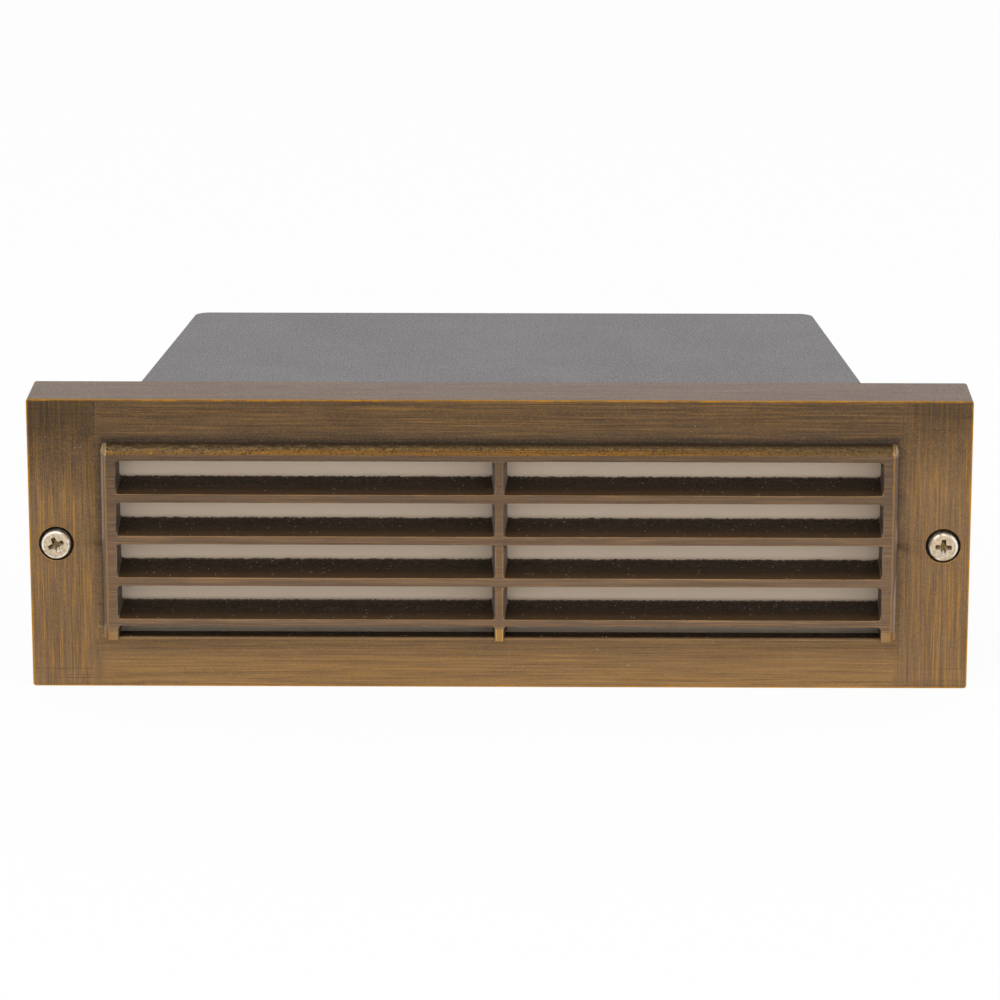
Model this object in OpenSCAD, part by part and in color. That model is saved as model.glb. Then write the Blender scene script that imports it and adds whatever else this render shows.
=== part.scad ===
// Recessed louvred step light: a cast bronze louvre plate over a tapered aluminium housing.
// Origin: centre of the wall plane. +X right, +Y into the wall, +Z up. Millimetres.

/* [Face plate] */
// Width of the face plate
plate_w = 235; // [220:0.5:300]
// Height of the face plate
plate_h = 74.4; // [72:0.1:90]
// Thickness of the face plate from the wall to its front face
plate_t = 19; // [17.5:0.1:24]
// Thickness of the rim wall behind the face
plate_wall = 2.6; // [2.2:0.1:2.8]
// Thickness of the front face
face_t = 4; // [3:0.1:4.4]
// Radius of the corners of the face plate
plate_corner_r = 0.8; // [0.4:0.1:2]

/* [Louvre] */
// Gap from each end of the plate to the raised frame
frame_side = 18.1; // [17.6:0.1:19]
// Gap from the top edge of the plate to the raised frame
frame_margin = 10.9; // [10.5:0.1:11.4]
// How far the raised frame stands out of the face
frame_proud = 2.5; // [2.1:0.1:3]
// Width of the bevel down each side of the raised frame
side_bevel = 1.3; // [0.6:0.1:1.5]
// Width of the front face of each outer stile
stile_w = 2.6; // [2:0.1:3]
// Drop of the rounded hood along the top of the raised frame
hood_drop = 2.8; // [1.5:0.1:3]
// Height of the flat front of the top rail under the hood
top_rail_h = 1.5; // [1:0.1:2.4]
// Height of each open slot
slot_h = 8.5; // [8:0.1:8.8]
// Thickness of a louvre blade at the front
blade_t = 2.25; // [1.8:0.05:2.5]
// Thickness of a louvre blade at its back edge
blade_back_t = 1.6; // [1.2:0.1:1.9]
// Rise of a louvre blade towards its back edge
blade_rise = 1.7; // [0.5:0.1:2.5]
// Height of the face under the opening
bottom_margin = 13.3; // [12.6:0.1:14]
// Width of the middle rib at the front
mullion_w = 2; // [1.6:0.1:3]
// Width of the middle rib at the back
mullion_back_w = 3.8; // [3:0.1:5]
// Rounding of the lip under the lowest gap
lip_r = 1; // [0.5:0.1:1.5]
// How far the lower ends of the ribs reach over the lip
rib_over = 0.6; // [0.2:0.1:1]
// Wall of the louvre box behind the face
louvre_wall = 3; // [2.5:0.1:3.5]
// Height of the ribs that clamp the gasket
clamp_h = 2.4; // [1.8:0.1:2.8]
// How far those ribs start from the inner edge of the gasket
clamp_inset = 0.9; // [0.5:0.1:1]

/* [Cover screws] */
// Distance of each cover screw from the end of the plate
screw_inset = 6.75; // [6.6:0.05:6.9]
// Diameter of the recess round the screw head
recess_d = 8.7; // [8.4:0.1:9.2]
// Diameter of the screw head
head_d = 7.4; // [7:0.1:7.8]
// Height of the screw head
head_h = 2.6; // [2.2:0.1:3]
// How far the screw head stands out of the face
head_proud = 1.5; // [0.5:0.1:1.8]
// Diameter of the screw thread
screw_d = 4; // [3.5:0.1:4.2]
// Thickness of the sealing washer under the head
washer_t = 0.8; // [0.5:0.1:1.2]
// Diameter of the boss behind each screw recess
boss_d = 12.4; // [11:0.1:12.6]
// Diameter of the brass insert in each ear
insert_d = 5.6; // [5.4:0.1:5.8]
// Gap from the tips of the cover screws to the wall plane
tip_gap = 0.8; // [0.4:0.1:2]

/* [Lens] */
// Thickness of the frosted lens
lens_t = 3; // [2.5:0.1:3.2]
// Reach of the lens past each end of the opening
lens_lap = 6.3; // [5.6:0.1:6.5]
// Reach of the lens above the raised frame
lens_rise = 2.3; // [2:0.1:2.4]
// Radius of the corners of the lens
lens_corner_r = 2; // [1:0.5:4]
// Overlap of the gasket lips on the lens
gasket_lap = 2.1; // [1.5:0.1:2.3]
// Wall of the gasket round the edge of the lens
gasket_edge = 2.1; // [1.6:0.1:2.2]
// Thickness of the gasket in front of the lens
gasket_front = 1.7; // [1.4:0.1:1.8]
// Thickness of the gasket behind the lens
gasket_back = 0.7; // [0.5:0.1:0.9]
// How far the gasket stands out of its seat
gasket_stand = 0.7; // [0.4:0.1:1]

/* [Housing] */
// Step in from each end of the plate to the housing at the wall plane
housing_inset = 23.5; // [22.5:0.1:25]
// Step down from the top edge of the plate to the top of the housing
housing_step = 4; // [3.8:0.1:4.1]
// Depth of the wiring space behind the reflector
splice_depth = 31.5; // [28:0.5:45]
// Draft angle of the housing's end walls
housing_draft = 6.2; // [4:0.1:6.6]
// Thickness of the housing's side walls
housing_wall = 3.2; // [2.8:0.1:3.6]
// Thickness of the housing's rear wall
rear_wall = 3.5; // [3:0.1:5]
// Outer radius of the housing's rear corners
rear_corner_r = 4; // [3:0.1:6]
// Inner radius of the housing's rear corners
rear_fillet_r = 2; // [1:0.1:3]
// Thickness of the ears that rest on the wall
ear_t = 3; // [2.8:0.1:3.2]
// Thickness of the wall of the lens seat at its ends
seat_wall = 1.8; // [1.6:0.1:2]
// Diameter of the wall fixing holes
fix_hole_d = 4.4; // [4:0.1:4.8]
// Distance of the wall fixing holes from the ends of the ears
fix_inset = 4.4; // [4:0.1:4.8]
// Distance of the wall fixing holes from the upper and lower edges of the ears
fix_drop = 11.2; // [7:0.1:14]
// Wall of the block round each brass insert
insert_wall = 2.5; // [2:0.1:4]

/* [Conduit entries] */
// Inner diameter of each conduit entry
entry_d = 19.2; // [18:0.1:20.4]
// Diameter of the hub round each conduit entry
hub_d = 31; // [29:0.5:34]
// Length of each hub, with the rear wall
hub_l = 13; // [10:0.5:14]
// Distance of each conduit entry from the middle
entry_x = 24; // [22:0.5:26]
// Diameter of the head of the closure plug
plug_head_d = 26; // [24:0.5:28]
// Thickness of the head of the closure plug
plug_head_h = 3; // [2:0.1:4]
// Thickness of the fibre washer under the closure plug
plug_washer_t = 1; // [0.5:0.1:1.5]
// Wall of the hollow end of the closure plug
plug_wall = 3; // [2:0.1:4]
// Length of the driver slot in the closure plug
plug_slot_l = 18; // [12:0.5:20]
// Width of the driver slot in the closure plug
plug_slot_w = 2.4; // [1.6:0.1:3]
// Depth of the driver slot in the closure plug
plug_slot_depth = 1.6; // [1:0.1:1.8]

/* [Reflector] */
// Thickness of the reflector sheet
sheet_t = 0.8; // [0.6:0.1:1]
// Gap from the inside of the reflector to the end walls of the housing
tray_gap_x = 3.8; // [3.4:0.1:6]
// Gap from the inside of the reflector to the upper and lower walls of the housing
tray_gap_z = 3; // [2.6:0.1:3.6]
// Draft angle of the reflector's end walls
tray_draft = 5; // [4:0.1:6]
// Distance of the reflector's posts from the ends of its mouth
post_inset = 14; // [13.6:0.1:15]
// Distance of the reflector's posts from its upper and lower walls
post_drop = 10; // [9:0.1:11]
// Diameter of the reflector's posts
post_d = 9; // [8:0.1:10]
// Diameter of the screws into the posts
post_screw_d = 3.4; // [3:0.1:3.6]
// Length of the screws into the posts
post_screw_l = 12; // [8:0.5:16]
// Diameter of the heads of those screws
post_head_d = 6.4; // [6:0.1:6.8]
// Height of the heads of those screws
post_head_h = 2.2; // [1.8:0.1:2.6]

/* [Lampholder] */
// Distance from the end of the reflector's mouth to the back of the lampholder
holder_inset = 22.5; // [22.2:0.1:24]
// Wall of porcelain round the threaded sleeve
holder_wall = 5.15; // [4:0.05:6]
// Length of the porcelain lampholder
holder_l = 36; // [34:0.5:38]
// Thickness of porcelain behind the lampholder's bore
holder_floor = 10; // [8:0.5:12]
// Length of the wider collar at the back of the lampholder
holder_collar_l = 14.4; // [8:0.1:20]
// Thickness of the threaded sleeve in the lampholder
sleeve_t = 0.6; // [0.4:0.1:0.8]
// Height of the centre contact
contact_h = 2; // [1.5:0.1:2.2]
// Thickness of the lampholder's bracket
bracket_t = 1.5; // [1.2:0.1:2]
// Reach of the lampholder's bracket past the lampholder's screws
bracket_lap = 4.9; // [4.4:0.1:6]
// Reach of the bracket's foot past its own screws
foot_lap = 4.2; // [3.6:0.1:5]
// Length of the foot of the bracket
foot_l = 15; // [13:0.1:15.4]
// Distance of the lampholder's screws from its rim
holder_screw_edge = 4.4; // [4:0.1:5]
// Diameter of the lampholder's screws
holder_screw_d = 3; // [2.5:0.1:3.5]
// Diameter of the heads of the lampholder's screws
holder_head_d = 5.6; // [5:0.1:6]
// Height of the heads of the lampholder's screws
holder_head_h = 2; // [1.6:0.1:2.4]
// Diameter of the hole for the leads in the bracket
lead_hole_d = 14; // [12:0.5:15]
// Bore of the bushing that carries the leads through the reflector
bushing_bore = 7; // [6.4:0.1:7.6]

/* [Lamp] */
// Overall length of the lamp
lamp_l = 89; // [82:1:95]
// Distance from the wall plane to the front of the lamp
lamp_front_gap = 9; // [5:0.5:14]
// Gap from the lamp to the reflector's upper and lower walls
lamp_side_gap = 3; // [2:0.1:6]
// Gap from the lamp to the back of the reflector
lamp_back_gap = 4.2; // [4:0.1:10]
// Outer diameter of the lamp's screw base
base_d = 26.2; // [26:0.1:26.6]
// Lead of the lamp's thread for one turn
lamp_pitch = 3.63; // [3:0.01:4]
// Thickness of the lamp's glass
glass_t = 0.7; // [0.5:0.1:1]
// Length of the glass stem in the lamp
stem_l = 20; // [16:0.5:24]
// Half width of the filament
filament_half_w = 9; // [6:0.5:12]
// Height of the wires that hold the filament's ends
filament_drop = 12; // [9:0.5:14]

/* [Leads] */
// Diameter of an insulated lead
lead_d = 2.4; // [2:0.1:2.6]
// Length of a wire connector
nut_l = 20; // [18:0.5:24]
// Diameter of a wire connector at its open end
nut_d = 11; // [10:0.5:12]
// Length of the straight skirt of a wire connector
nut_skirt_l = 6; // [4:0.5:8]
// Height of the leads' connectors above and below the middle
nut_z = 10; // [8:0.5:12]

/* [Hidden] */

$fn = 48;
over = 1;             // how far a cut runs past the solid it cuts
rest_gap = 0.3;       // gap between pieces that part when the light is opened
slip = 0.05;          // radial gap of a screw in its thread or a piece in its seat
lamp_slip = 0.1;      // radial gap of the lamp's base in its sleeve
washer_gap = 0.2;     // radial gap of a sealing washer in its recess
hole_clear = 0.5;     // how much wider a screw's clearance hole is than the screw
ear_gap = 0.5;        // gap from the ears to the rim of the face plate
arc_steps = 8;        // straight steps along a rounded edge

// Opening and louvre, from the middle of the plate
frame_half_w = plate_w / 2 - frame_side;
open_half_w = frame_half_w - side_bevel - stile_w;
frame_top = plate_h / 2 - frame_margin;
rail_bottom = frame_top - hood_drop - top_rail_h;
lip_z = bottom_margin - plate_h / 2;
blade_pitch = slot_h + blade_t;
blade_count = floor((rail_bottom - lip_z) / blade_pitch);
rib_end = lip_z - rib_over;

// Lens, gasket and their seat
lens_w = 2 * (open_half_w + lens_lap);
lens_h = 2 * (frame_top + lens_rise);
gasket_w = lens_w + 2 * gasket_edge;
gasket_h = lens_h + 2 * gasket_edge;
seat_half_w = gasket_w / 2 + rest_gap;
seat_half_h = gasket_h / 2 + rest_gap;
seat_w = 2 * (seat_half_w + seat_wall);
seat_corner_r = lens_corner_r + 1;
clamp_z = lens_h / 2 - gasket_lap + clamp_inset;

// Places along Y at the front
face_y = -plate_t;
front_y = face_y - frame_proud;
tray_front_y = -ear_t - sheet_t;
lens_back_y = tray_front_y - gasket_back;
lens_front_y = lens_back_y - lens_t;
gasket_front_y = lens_front_y - gasket_front;
seat_front_y = gasket_front_y + gasket_stand;
clamp_y = gasket_front_y - rest_gap;
louvre_back_y = clamp_y;

// Cover screws
screw_x = plate_w / 2 - screw_inset;
head_y = face_y - head_proud;
washer_y = head_y + head_h;
recess_floor_y = washer_y + washer_t;
screw_tip_y = -tip_gap;

// Housing across
housing_w = plate_w - 2 * housing_inset;
housing_half_h = plate_h / 2 - housing_step;
inner_half_h = housing_half_h - housing_wall;
draft = tan(housing_draft);
ear_w = plate_w - 2 * plate_wall - 2 * ear_gap;
ear_corner_r = 2;
fix_x = ear_w / 2 - fix_inset;
fix_z = housing_half_h - fix_drop;

// Reflector across
tray_half_w = housing_w / 2 - housing_wall - tray_gap_x;
tray_half_h = inner_half_h - tray_gap_z;
tray_slope = tan(tray_draft);
post_x = tray_half_w - post_inset;
post_z = tray_half_h - post_drop;

// Places along Y, from the lamp to the back of the housing
lamp_d = 2 * (tray_half_h - lamp_side_gap);
lamp_y = lamp_front_gap + lamp_d / 2;
tray_back_y = lamp_front_gap + lamp_d + lamp_back_gap;
tray_d = tray_back_y + sheet_t;
foot_y = tray_back_y - bracket_t;
inner_back_y = tray_d + splice_depth;
housing_d = inner_back_y + rear_wall;
hub_y = housing_d - hub_l;

// Lampholder
holder_x = tray_half_w - holder_inset;
bore_floor_x = holder_floor - holder_x;
holder_end_x = holder_l - holder_x;
sleeve_r = base_d / 2 + lamp_slip;
holder_bore_r = sleeve_r + sleeve_t + slip;
holder_d = 2 * (holder_bore_r + holder_wall);
holder_screw_r = holder_d / 2 - holder_screw_edge;
pilot_l = holder_floor - 2;
bracket_half_h = holder_screw_r + bracket_lap;
foot_half_h = post_z + foot_lap;
holder_rim_step = 1.6;
holder_rim_r = 2;
sleeve_short = 1;
contact_base_t = 0.8;
contact_base_d = 12;
contact_d = 7;
bushing_x = -post_x;
bushing_r = bushing_bore / 2 + 1;
bushing_flange_r = bushing_bore / 2 + 2.4;
bushing_flange_t = 1.2;

// Lamp, along its own axis from its contact tip
lamp_x = bore_floor_x + contact_h + rest_gap;
tip_t = 1.2;
tip_d = 9;
insulator_tip_r = 5.5;
base_from = 4;
base_to = 27;
base_floor_t = 0.8;
base_floor_bore = 18;
thread_depth = 0.8;
crest_r = 1.1;
first_crest = 3;
neck_r = base_d / 2 - 1.25;
neck_lean = 38;
bulb_r = lamp_d / 2;
bulb_z = lamp_l - bulb_r;
glass_from = base_to - 5;
stem_disc_z = base_to - 4;
stem_disc_t = 1.2;
stem_z = stem_disc_z + 1;
stem_foot_r = 5;
stem_tip_r = 2.4;
filament_z = bulb_z - 2;
wire_d = 0.7;
coil_d = 1.1;
wire_x = 1.6;
wire_lap = 0.2;
wire_sink = 5;
wire_foot_z = stem_z + stem_l - wire_sink;

// Wire connectors and ground terminal
nut_x = -34;
green_nut_x = 24;
nut_y = (tray_d + hub_y) / 2;
green_nut_y = nut_y - 2;
nut_bore_l = 14;
nut_wall = 1.7;
nut_step = 1;
nut_tip_d = 7;
ground_boss_l = 7.5;
ground_y = inner_back_y - ground_boss_l;
ground_screw_l = 7;
ground_head_d = 7;
ground_head_h = 2.4;
terminal_t = 0.8;
terminal_r = 4;
strap_w = 3;
barrel_z = 6;
barrel_l = 8;
barrel_wall = 0.5;
barrel_y = ground_y - barrel_l;

// Closure plug
plug_y = housing_d + plug_washer_t;
plug_end_y = plug_y + plug_head_h;
plug_short = 2;
plug_floor = 2;
washer_in = 0.5;

// Routes of the leads
lead_out = 5.5;
lead_turn = 3;
lead_out_z = 4;
lead_in_z = 1.7;
before_bushing = 11;
after_bushing = 4;
lead_swing = 5;
lead_swing_z = 8.4;
lead_ahead = 6;
lead_in_nut = 10;
sweep = 4;
sweep_z = 5;
sweep_end = 13;
sweep_end_z = 1;
route_black = [[-holder_x, lamp_y, lead_out_z], [-holder_x - lead_out, lamp_y, lead_out_z],
               [-post_x, lamp_y + lead_turn, lead_turn], [-post_x, foot_y - before_bushing, lead_in_z],
               [-post_x, tray_d + after_bushing, lead_in_z],
               [-post_x + lead_turn, tray_d + after_bushing + lead_swing, lead_turn],
               [(nut_x - post_x) / 2, nut_y, lead_swing_z], [nut_x - lead_ahead, nut_y, nut_z],
               [nut_x + lead_in_nut, nut_y, nut_z]];
route_white = [for (p = route_black) [p[0], p[1], -p[2]]];
route_green = [[0, barrel_y, barrel_z], [0, (barrel_y + green_nut_y) / 2, barrel_z],
               [sweep, green_nut_y, sweep_z], [sweep_end, green_nut_y - sweep_end_z, sweep_end_z],
               [green_nut_x - sweep, green_nut_y, 0], [green_nut_x + lead_in_nut, green_nut_y, 0]];

// Shared shapes

// A rectangle with true round corners
module round_rect(w, h, r) {
    square([w - 2 * r, h], center = true);
    square([w, h - 2 * r], center = true);
    for (sx = [-1, 1], sz = [-1, 1])
        translate([sx * (w / 2 - r), sz * (h / 2 - r)]) circle(r);
}

// A flat shape drawn in X and Z, thickened from y0 to y1
module slab(y0, y1) {
    translate([0, y1, 0]) rotate([90, 0, 0]) linear_extrude(y1 - y0) children();
}

// A profile drawn in Y and Z, drawn out along X over a width w
module along_x(w) {
    translate([-w / 2, 0, 0]) rotate([90, 0, 90]) linear_extrude(w) children();
}

// A round bar along Y from y0 to y1
module bar_y(x, z, y0, y1, d) {
    translate([x, y0, z]) rotate([-90, 0, 0]) cylinder(h = y1 - y0, d = d);
}

// A round bar along X from x0 to x1
module bar_x(x0, x1, y, z, d) {
    translate([x0, y, z]) rotate([0, 90, 0]) cylinder(h = x1 - x0, d = d);
}

// Outline in X and Y of a box that narrows towards the back, with round rear corners
module drafted_outline(half_w, y0, y1, slope, r) {
    back_w = half_w - slope * (y1 - y0);
    turn = 90 - atan(slope);
    cx = back_w + slope * r - r * sqrt(1 + slope * slope);
    cy = y1 - r;
    edge = [cx + r * sin(turn), cy + r * cos(turn)];
    polygon([[-half_w, y0], [half_w, y0], edge, [cx, y1], [-cx, y1], [-edge[0], edge[1]]]);
    for (s = [-1, 1]) translate([s * cx, cy]) circle(r);
}

// Each route point is cut to two, so that the corners turn round
function soften(p) = concat([p[0]],
    [for (i = [0:len(p) - 2]) each [p[i] * 0.75 + p[i + 1] * 0.25, p[i] * 0.25 + p[i + 1] * 0.75]],
    [p[len(p) - 1]]);
function unit(v) = v / norm(v);
function heading(p, i) = unit(p[min(i + 1, len(p) - 1)] - p[max(i - 1, 0)]);
function ring(c, t, r, n) = let (a = unit(cross(t, [0, 0, 1])), b = cross(t, a))
    [for (k = [0:n - 1]) c + r * (cos(360 * k / n) * a + sin(360 * k / n) * b)];

// A lead along a route
module lead(route, d) {
    n = 8;
    p = soften(route);
    m = len(p);
    points = [for (i = [0:m - 1]) each ring(p[i], heading(p, i), d / 2, n)];
    sides = [for (i = [0:m - 2], k = [0:n - 1]) each
        [[i * n + k, (i + 1) * n + k, (i + 1) * n + (k + 1) % n],
         [i * n + k, (i + 1) * n + (k + 1) % n, i * n + (k + 1) % n]]];
    start = [for (k = [0:n - 1]) k];
    end = [for (k = [n - 1:-1:0]) (m - 1) * n + k];
    polyhedron(points, concat([start], sides, [end]));
}

// Face plate

// Side view of the raised frame: a rounded hood over a flat front
module frame_profile() {
    hood = [for (i = [0:arc_steps])
        let (a = 90 * i / arc_steps)
            [face_y - frame_proud * sin(a), frame_top - hood_drop * (1 - cos(a))]];
    polygon(concat(hood, [[front_y, rib_end], [face_y + over, rib_end], [face_y + over, frame_top]]));
}

// Top view of the raised frame: a bevel down each side
module frame_plan() {
    half = frame_half_w;
    polygon([[-half, face_y + over], [-half, face_y], [side_bevel - half, front_y],
             [half - side_bevel, front_y], [half, face_y], [half, face_y + over]]);
}

module raised_frame() {
    intersection() {
        along_x(plate_w) frame_profile();
        translate([0, 0, -plate_h / 2]) linear_extrude(plate_h) frame_plan();
    }
}

// One louvre blade across both columns, its front top edge at height z
module blade(z) {
    along_x(2 * open_half_w + over) polygon([[front_y, z], [front_y, z - blade_t],
        [louvre_back_y, z + blade_rise - blade_back_t], [louvre_back_y, z + blade_rise]]);
}

// Top view of the middle rib, which widens towards the back
module mullion() {
    rib_top = rail_bottom + over;
    translate([0, 0, rib_end]) linear_extrude(rib_top - rib_end)
        polygon([[-mullion_w / 2, front_y], [mullion_w / 2, front_y],
                 [mullion_back_w / 2, louvre_back_y], [-mullion_back_w / 2, louvre_back_y]]);
}

// Walls of the louvre box behind the face, along the top and down both ends
module louvre_box() {
    wall_y = face_y + face_t - over;
    slab(wall_y, louvre_back_y) difference() {
        translate([-open_half_w - louvre_wall, lip_z])
            square([2 * (open_half_w + louvre_wall), rail_bottom - lip_z + louvre_wall]);
        translate([-open_half_w, lip_z - over])
            square([2 * open_half_w, rail_bottom - lip_z + over]);
    }
}

// Ribs behind the face that press on the lens gasket
module clamp_ribs() {
    for (s = [-1, 1])
        slab(face_y + face_t - over, clamp_y)
            translate([0, s * (clamp_z + clamp_h / 2)]) square([2 * open_half_w, clamp_h], center = true);
}

// Side view of the opening: its lower edge is a rounded lip
module opening_profile() {
    lip = [for (i = [0:arc_steps])
        let (a = 90 * i / arc_steps)
            [face_y + lip_r * (1 - sin(a)), lip_z - lip_r * (1 - cos(a))]];
    polygon(concat([[0, lip_z]], [for (i = [arc_steps:-1:0]) lip[arc_steps - i]],
                   [[front_y - over, lip_z - lip_r], [front_y - over, rail_bottom], [0, rail_bottom]]));
}

// Plain plate: a face with a rim behind it and the opening through it
module plate_shell() {
    difference() {
        slab(face_y, 0) round_rect(plate_w, plate_h, plate_corner_r);
        slab(face_y + face_t, over)
            square([plate_w - 2 * plate_wall, plate_h - 2 * plate_wall], center = true);
        along_x(2 * open_half_w) opening_profile();
    }
}

// Top rail and outer stiles, left when the opening is cut from the raised frame
module rail_and_stiles() {
    difference() {
        raised_frame();
        slab(front_y - over, over) translate([-open_half_w, rib_end - over])
            square([2 * open_half_w, rail_bottom - rib_end + over]);
    }
}

module face_plate() color([0.47, 0.37, 0.26]) difference() {
    union() {
        plate_shell();
        rail_and_stiles();
        for (i = [0:blade_count - 1]) blade(rail_bottom - slot_h - i * blade_pitch);
        mullion();
        louvre_box();
        clamp_ribs();
        intersection() {
            for (s = [-1, 1]) bar_y(s * screw_x, 0, face_y + face_t - over, clamp_y, boss_d);
            slab(face_y, 0) square([plate_w - plate_wall, plate_h - plate_wall], center = true);
        }
    }
    for (s = [-1, 1]) {
        bar_y(s * screw_x, 0, front_y - over, recess_floor_y, recess_d);
        bar_y(s * screw_x, 0, front_y, over, screw_d + hole_clear);
    }
}

// Cover screws

// Half outline of a screw head with a round edge and of its shank, turned about the screw's axis
module screw_outline(hd, hh, sd, l) {
    edge = hh * 0.3;
    square([hd / 2 - edge, hh]);
    translate([0, edge]) square([hd / 2, hh - edge]);
    translate([hd / 2 - edge, edge]) circle(edge);
    square([sd / 2, hh + l]);
}

// Pan head screw along +Y, its head face at the origin, with a cross recess in proportion to the head
module pan_screw(hd, hh, sd, l) {
    cross_l = hd * 0.56;
    cross_w = hd * 0.12;
    cross_depth = hh * 0.5;
    centre_d = hd * 0.24;
    centre_depth = hh * 0.6;
    rotate([-90, 0, 0]) difference() {
        rotate_extrude() intersection() {
            screw_outline(hd, hh, sd, l);
            square([hd, hh + l]);
        }
        for (a = [0, 90]) rotate(a) translate([-cross_l / 2, -cross_w / 2, -over])
            cube([cross_l, cross_w, over + cross_depth]);
        translate([0, 0, -over]) cylinder(h = over + centre_depth, d = centre_d);
    }
}

module cover_screw(s) color([0.78, 0.76, 0.72])
    translate([s * screw_x, head_y, 0])
        pan_screw(head_d, head_h, screw_d, screw_tip_y - head_y - head_h);

module sealing_washer(s) color([0.12, 0.12, 0.12]) difference() {
    bar_y(s * screw_x, 0, washer_y, recess_floor_y, recess_d - 2 * washer_gap);
    bar_y(s * screw_x, 0, washer_y - over, recess_floor_y + over, screw_d + 2 * slip);
}

// Lens and gasket

module lens() color([0.85, 0.82, 0.78, 0.9])
    slab(lens_front_y, lens_back_y) round_rect(lens_w, lens_h, lens_corner_r);

module lens_gasket() color([0.1, 0.1, 0.1]) difference() {
    slab(gasket_front_y, tray_front_y) round_rect(gasket_w, gasket_h, seat_corner_r);
    slab(gasket_front_y - over, tray_front_y + over)
        round_rect(lens_w - 2 * gasket_lap, lens_h - 2 * gasket_lap, lens_corner_r);
    slab(lens_front_y, lens_back_y) round_rect(lens_w, lens_h, lens_corner_r);
}

// Housing

module at_posts() {
    for (sx = [-1, 1], sz = [-1, 1]) translate([sx * post_x, 0, sz * post_z]) children();
}

module housing_outside() {
    translate([0, 0, -housing_half_h]) linear_extrude(2 * housing_half_h)
        drafted_outline(housing_w / 2, 0, housing_d, draft, rear_corner_r);
    slab(-ear_t, 0) round_rect(ear_w, 2 * housing_half_h, ear_corner_r);
    slab(seat_front_y, 0) round_rect(seat_w, 2 * housing_half_h, ear_corner_r);
    ear_block_h = insert_d + 2 * insert_wall;
    for (s = [-1, 1])
        slab(seat_front_y, 0) translate([s * (ear_w / 2 + seat_w / 2 - over) / 2, 0])
            square([ear_w / 2 - seat_w / 2 + over, ear_block_h], center = true);
}

module housing_inside() {
    wall_x = housing_wall / cos(housing_draft);
    translate([0, 0, -inner_half_h]) linear_extrude(2 * inner_half_h)
        drafted_outline(housing_w / 2 - wall_x + draft * over, -over - ear_t, inner_back_y, draft,
                        rear_fillet_r);
    slab(seat_front_y - over, -ear_t) round_rect(2 * seat_half_w, 2 * seat_half_h, seat_corner_r);
}

module housing() color([0.53, 0.52, 0.52]) difference() {
    union() {
        difference() {
            housing_outside();
            housing_inside();
        }
        at_posts() bar_y(0, 0, tray_d, inner_back_y + over, post_d);
        for (s = [-1, 1]) bar_y(s * entry_x, 0, hub_y, housing_d, hub_d);
        bar_y(0, 0, ground_y, inner_back_y + over, post_d);
    }
    at_posts() bar_y(0, 0, tray_d - over, tray_d + post_screw_l + over, post_screw_d + 2 * slip);
    for (s = [-1, 1]) bar_y(s * entry_x, 0, hub_y - over, housing_d + over, entry_d);
    bar_y(0, 0, ground_y - over, ground_y + ground_screw_l, post_screw_d + 2 * slip);
    for (s = [-1, 1]) bar_y(s * screw_x, 0, seat_front_y - over, over, insert_d + 2 * slip);
    for (sx = [-1, 1], sz = [-1, 1]) bar_y(sx * fix_x, sz * fix_z, -ear_t - over, over, fix_hole_d);
}

module thread_inserts() color([0.72, 0.58, 0.3]) for (s = [-1, 1]) difference() {
    bar_y(s * screw_x, 0, seat_front_y, screw_tip_y, insert_d);
    bar_y(s * screw_x, 0, seat_front_y - over, screw_tip_y + over, screw_d + 2 * slip);
}

// Reflector

module tray_outline(half_w, y0, y1) {
    back_w = half_w - tray_slope * (y1 - y0);
    polygon([[-half_w, y0], [half_w, y0], [back_w, y1], [-back_w, y1]]);
}

module reflector() color([0.93, 0.93, 0.92]) difference() {
    union() {
        slab(tray_front_y, -ear_t)
            round_rect(2 * (seat_half_w - rest_gap), 2 * (seat_half_h - rest_gap), seat_corner_r);
        translate([0, 0, -tray_half_h - sheet_t]) linear_extrude(2 * (tray_half_h + sheet_t))
            tray_outline(tray_half_w + sheet_t, tray_front_y, tray_d);
    }
    translate([0, 0, -tray_half_h]) linear_extrude(2 * tray_half_h)
        tray_outline(tray_half_w + tray_slope * over, tray_front_y - over, tray_back_y);
    at_posts() bar_y(0, 0, tray_back_y - over, tray_d + over, post_screw_d + hole_clear);
    bar_y(bushing_x, 0, tray_back_y - over, tray_d + over, 2 * (bushing_r + slip));
}

module post_screw(y)
    translate([0, y - post_head_h, 0]) pan_screw(post_head_d, post_head_h, post_screw_d, post_screw_l);

module reflector_screws() color([0.75, 0.75, 0.74])
    for (sz = [-1, 1]) translate([post_x, 0, sz * post_z]) post_screw(tray_back_y);

// Lampholder

module bracket_screws() color([0.75, 0.75, 0.74])
    for (sz = [-1, 1]) translate([-post_x, 0, sz * post_z]) post_screw(foot_y);

module lampholder_bracket() color([0.7, 0.7, 0.68]) difference() {
    union() {
        translate([-holder_x - bracket_t, lamp_y - holder_d / 2, -bracket_half_h])
            cube([bracket_t, tray_back_y - lamp_y + holder_d / 2, 2 * bracket_half_h]);
        translate([-holder_x - foot_l, foot_y, -foot_half_h])
            cube([foot_l, bracket_t, 2 * foot_half_h]);
    }
    bar_x(-holder_x - bracket_t - over, -holder_x + over, lamp_y, 0, lead_hole_d);
    for (s = [-1, 1])
        bar_x(-holder_x - bracket_t - over, -holder_x + over, lamp_y, s * holder_screw_r,
              holder_screw_d + hole_clear);
    for (sz = [-1, 1])
        bar_y(-post_x, sz * post_z, foot_y - over, tray_back_y + over, post_screw_d + hole_clear);
    bar_y(bushing_x, 0, foot_y - over, tray_back_y + over, 2 * (bushing_r + slip));
}

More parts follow.
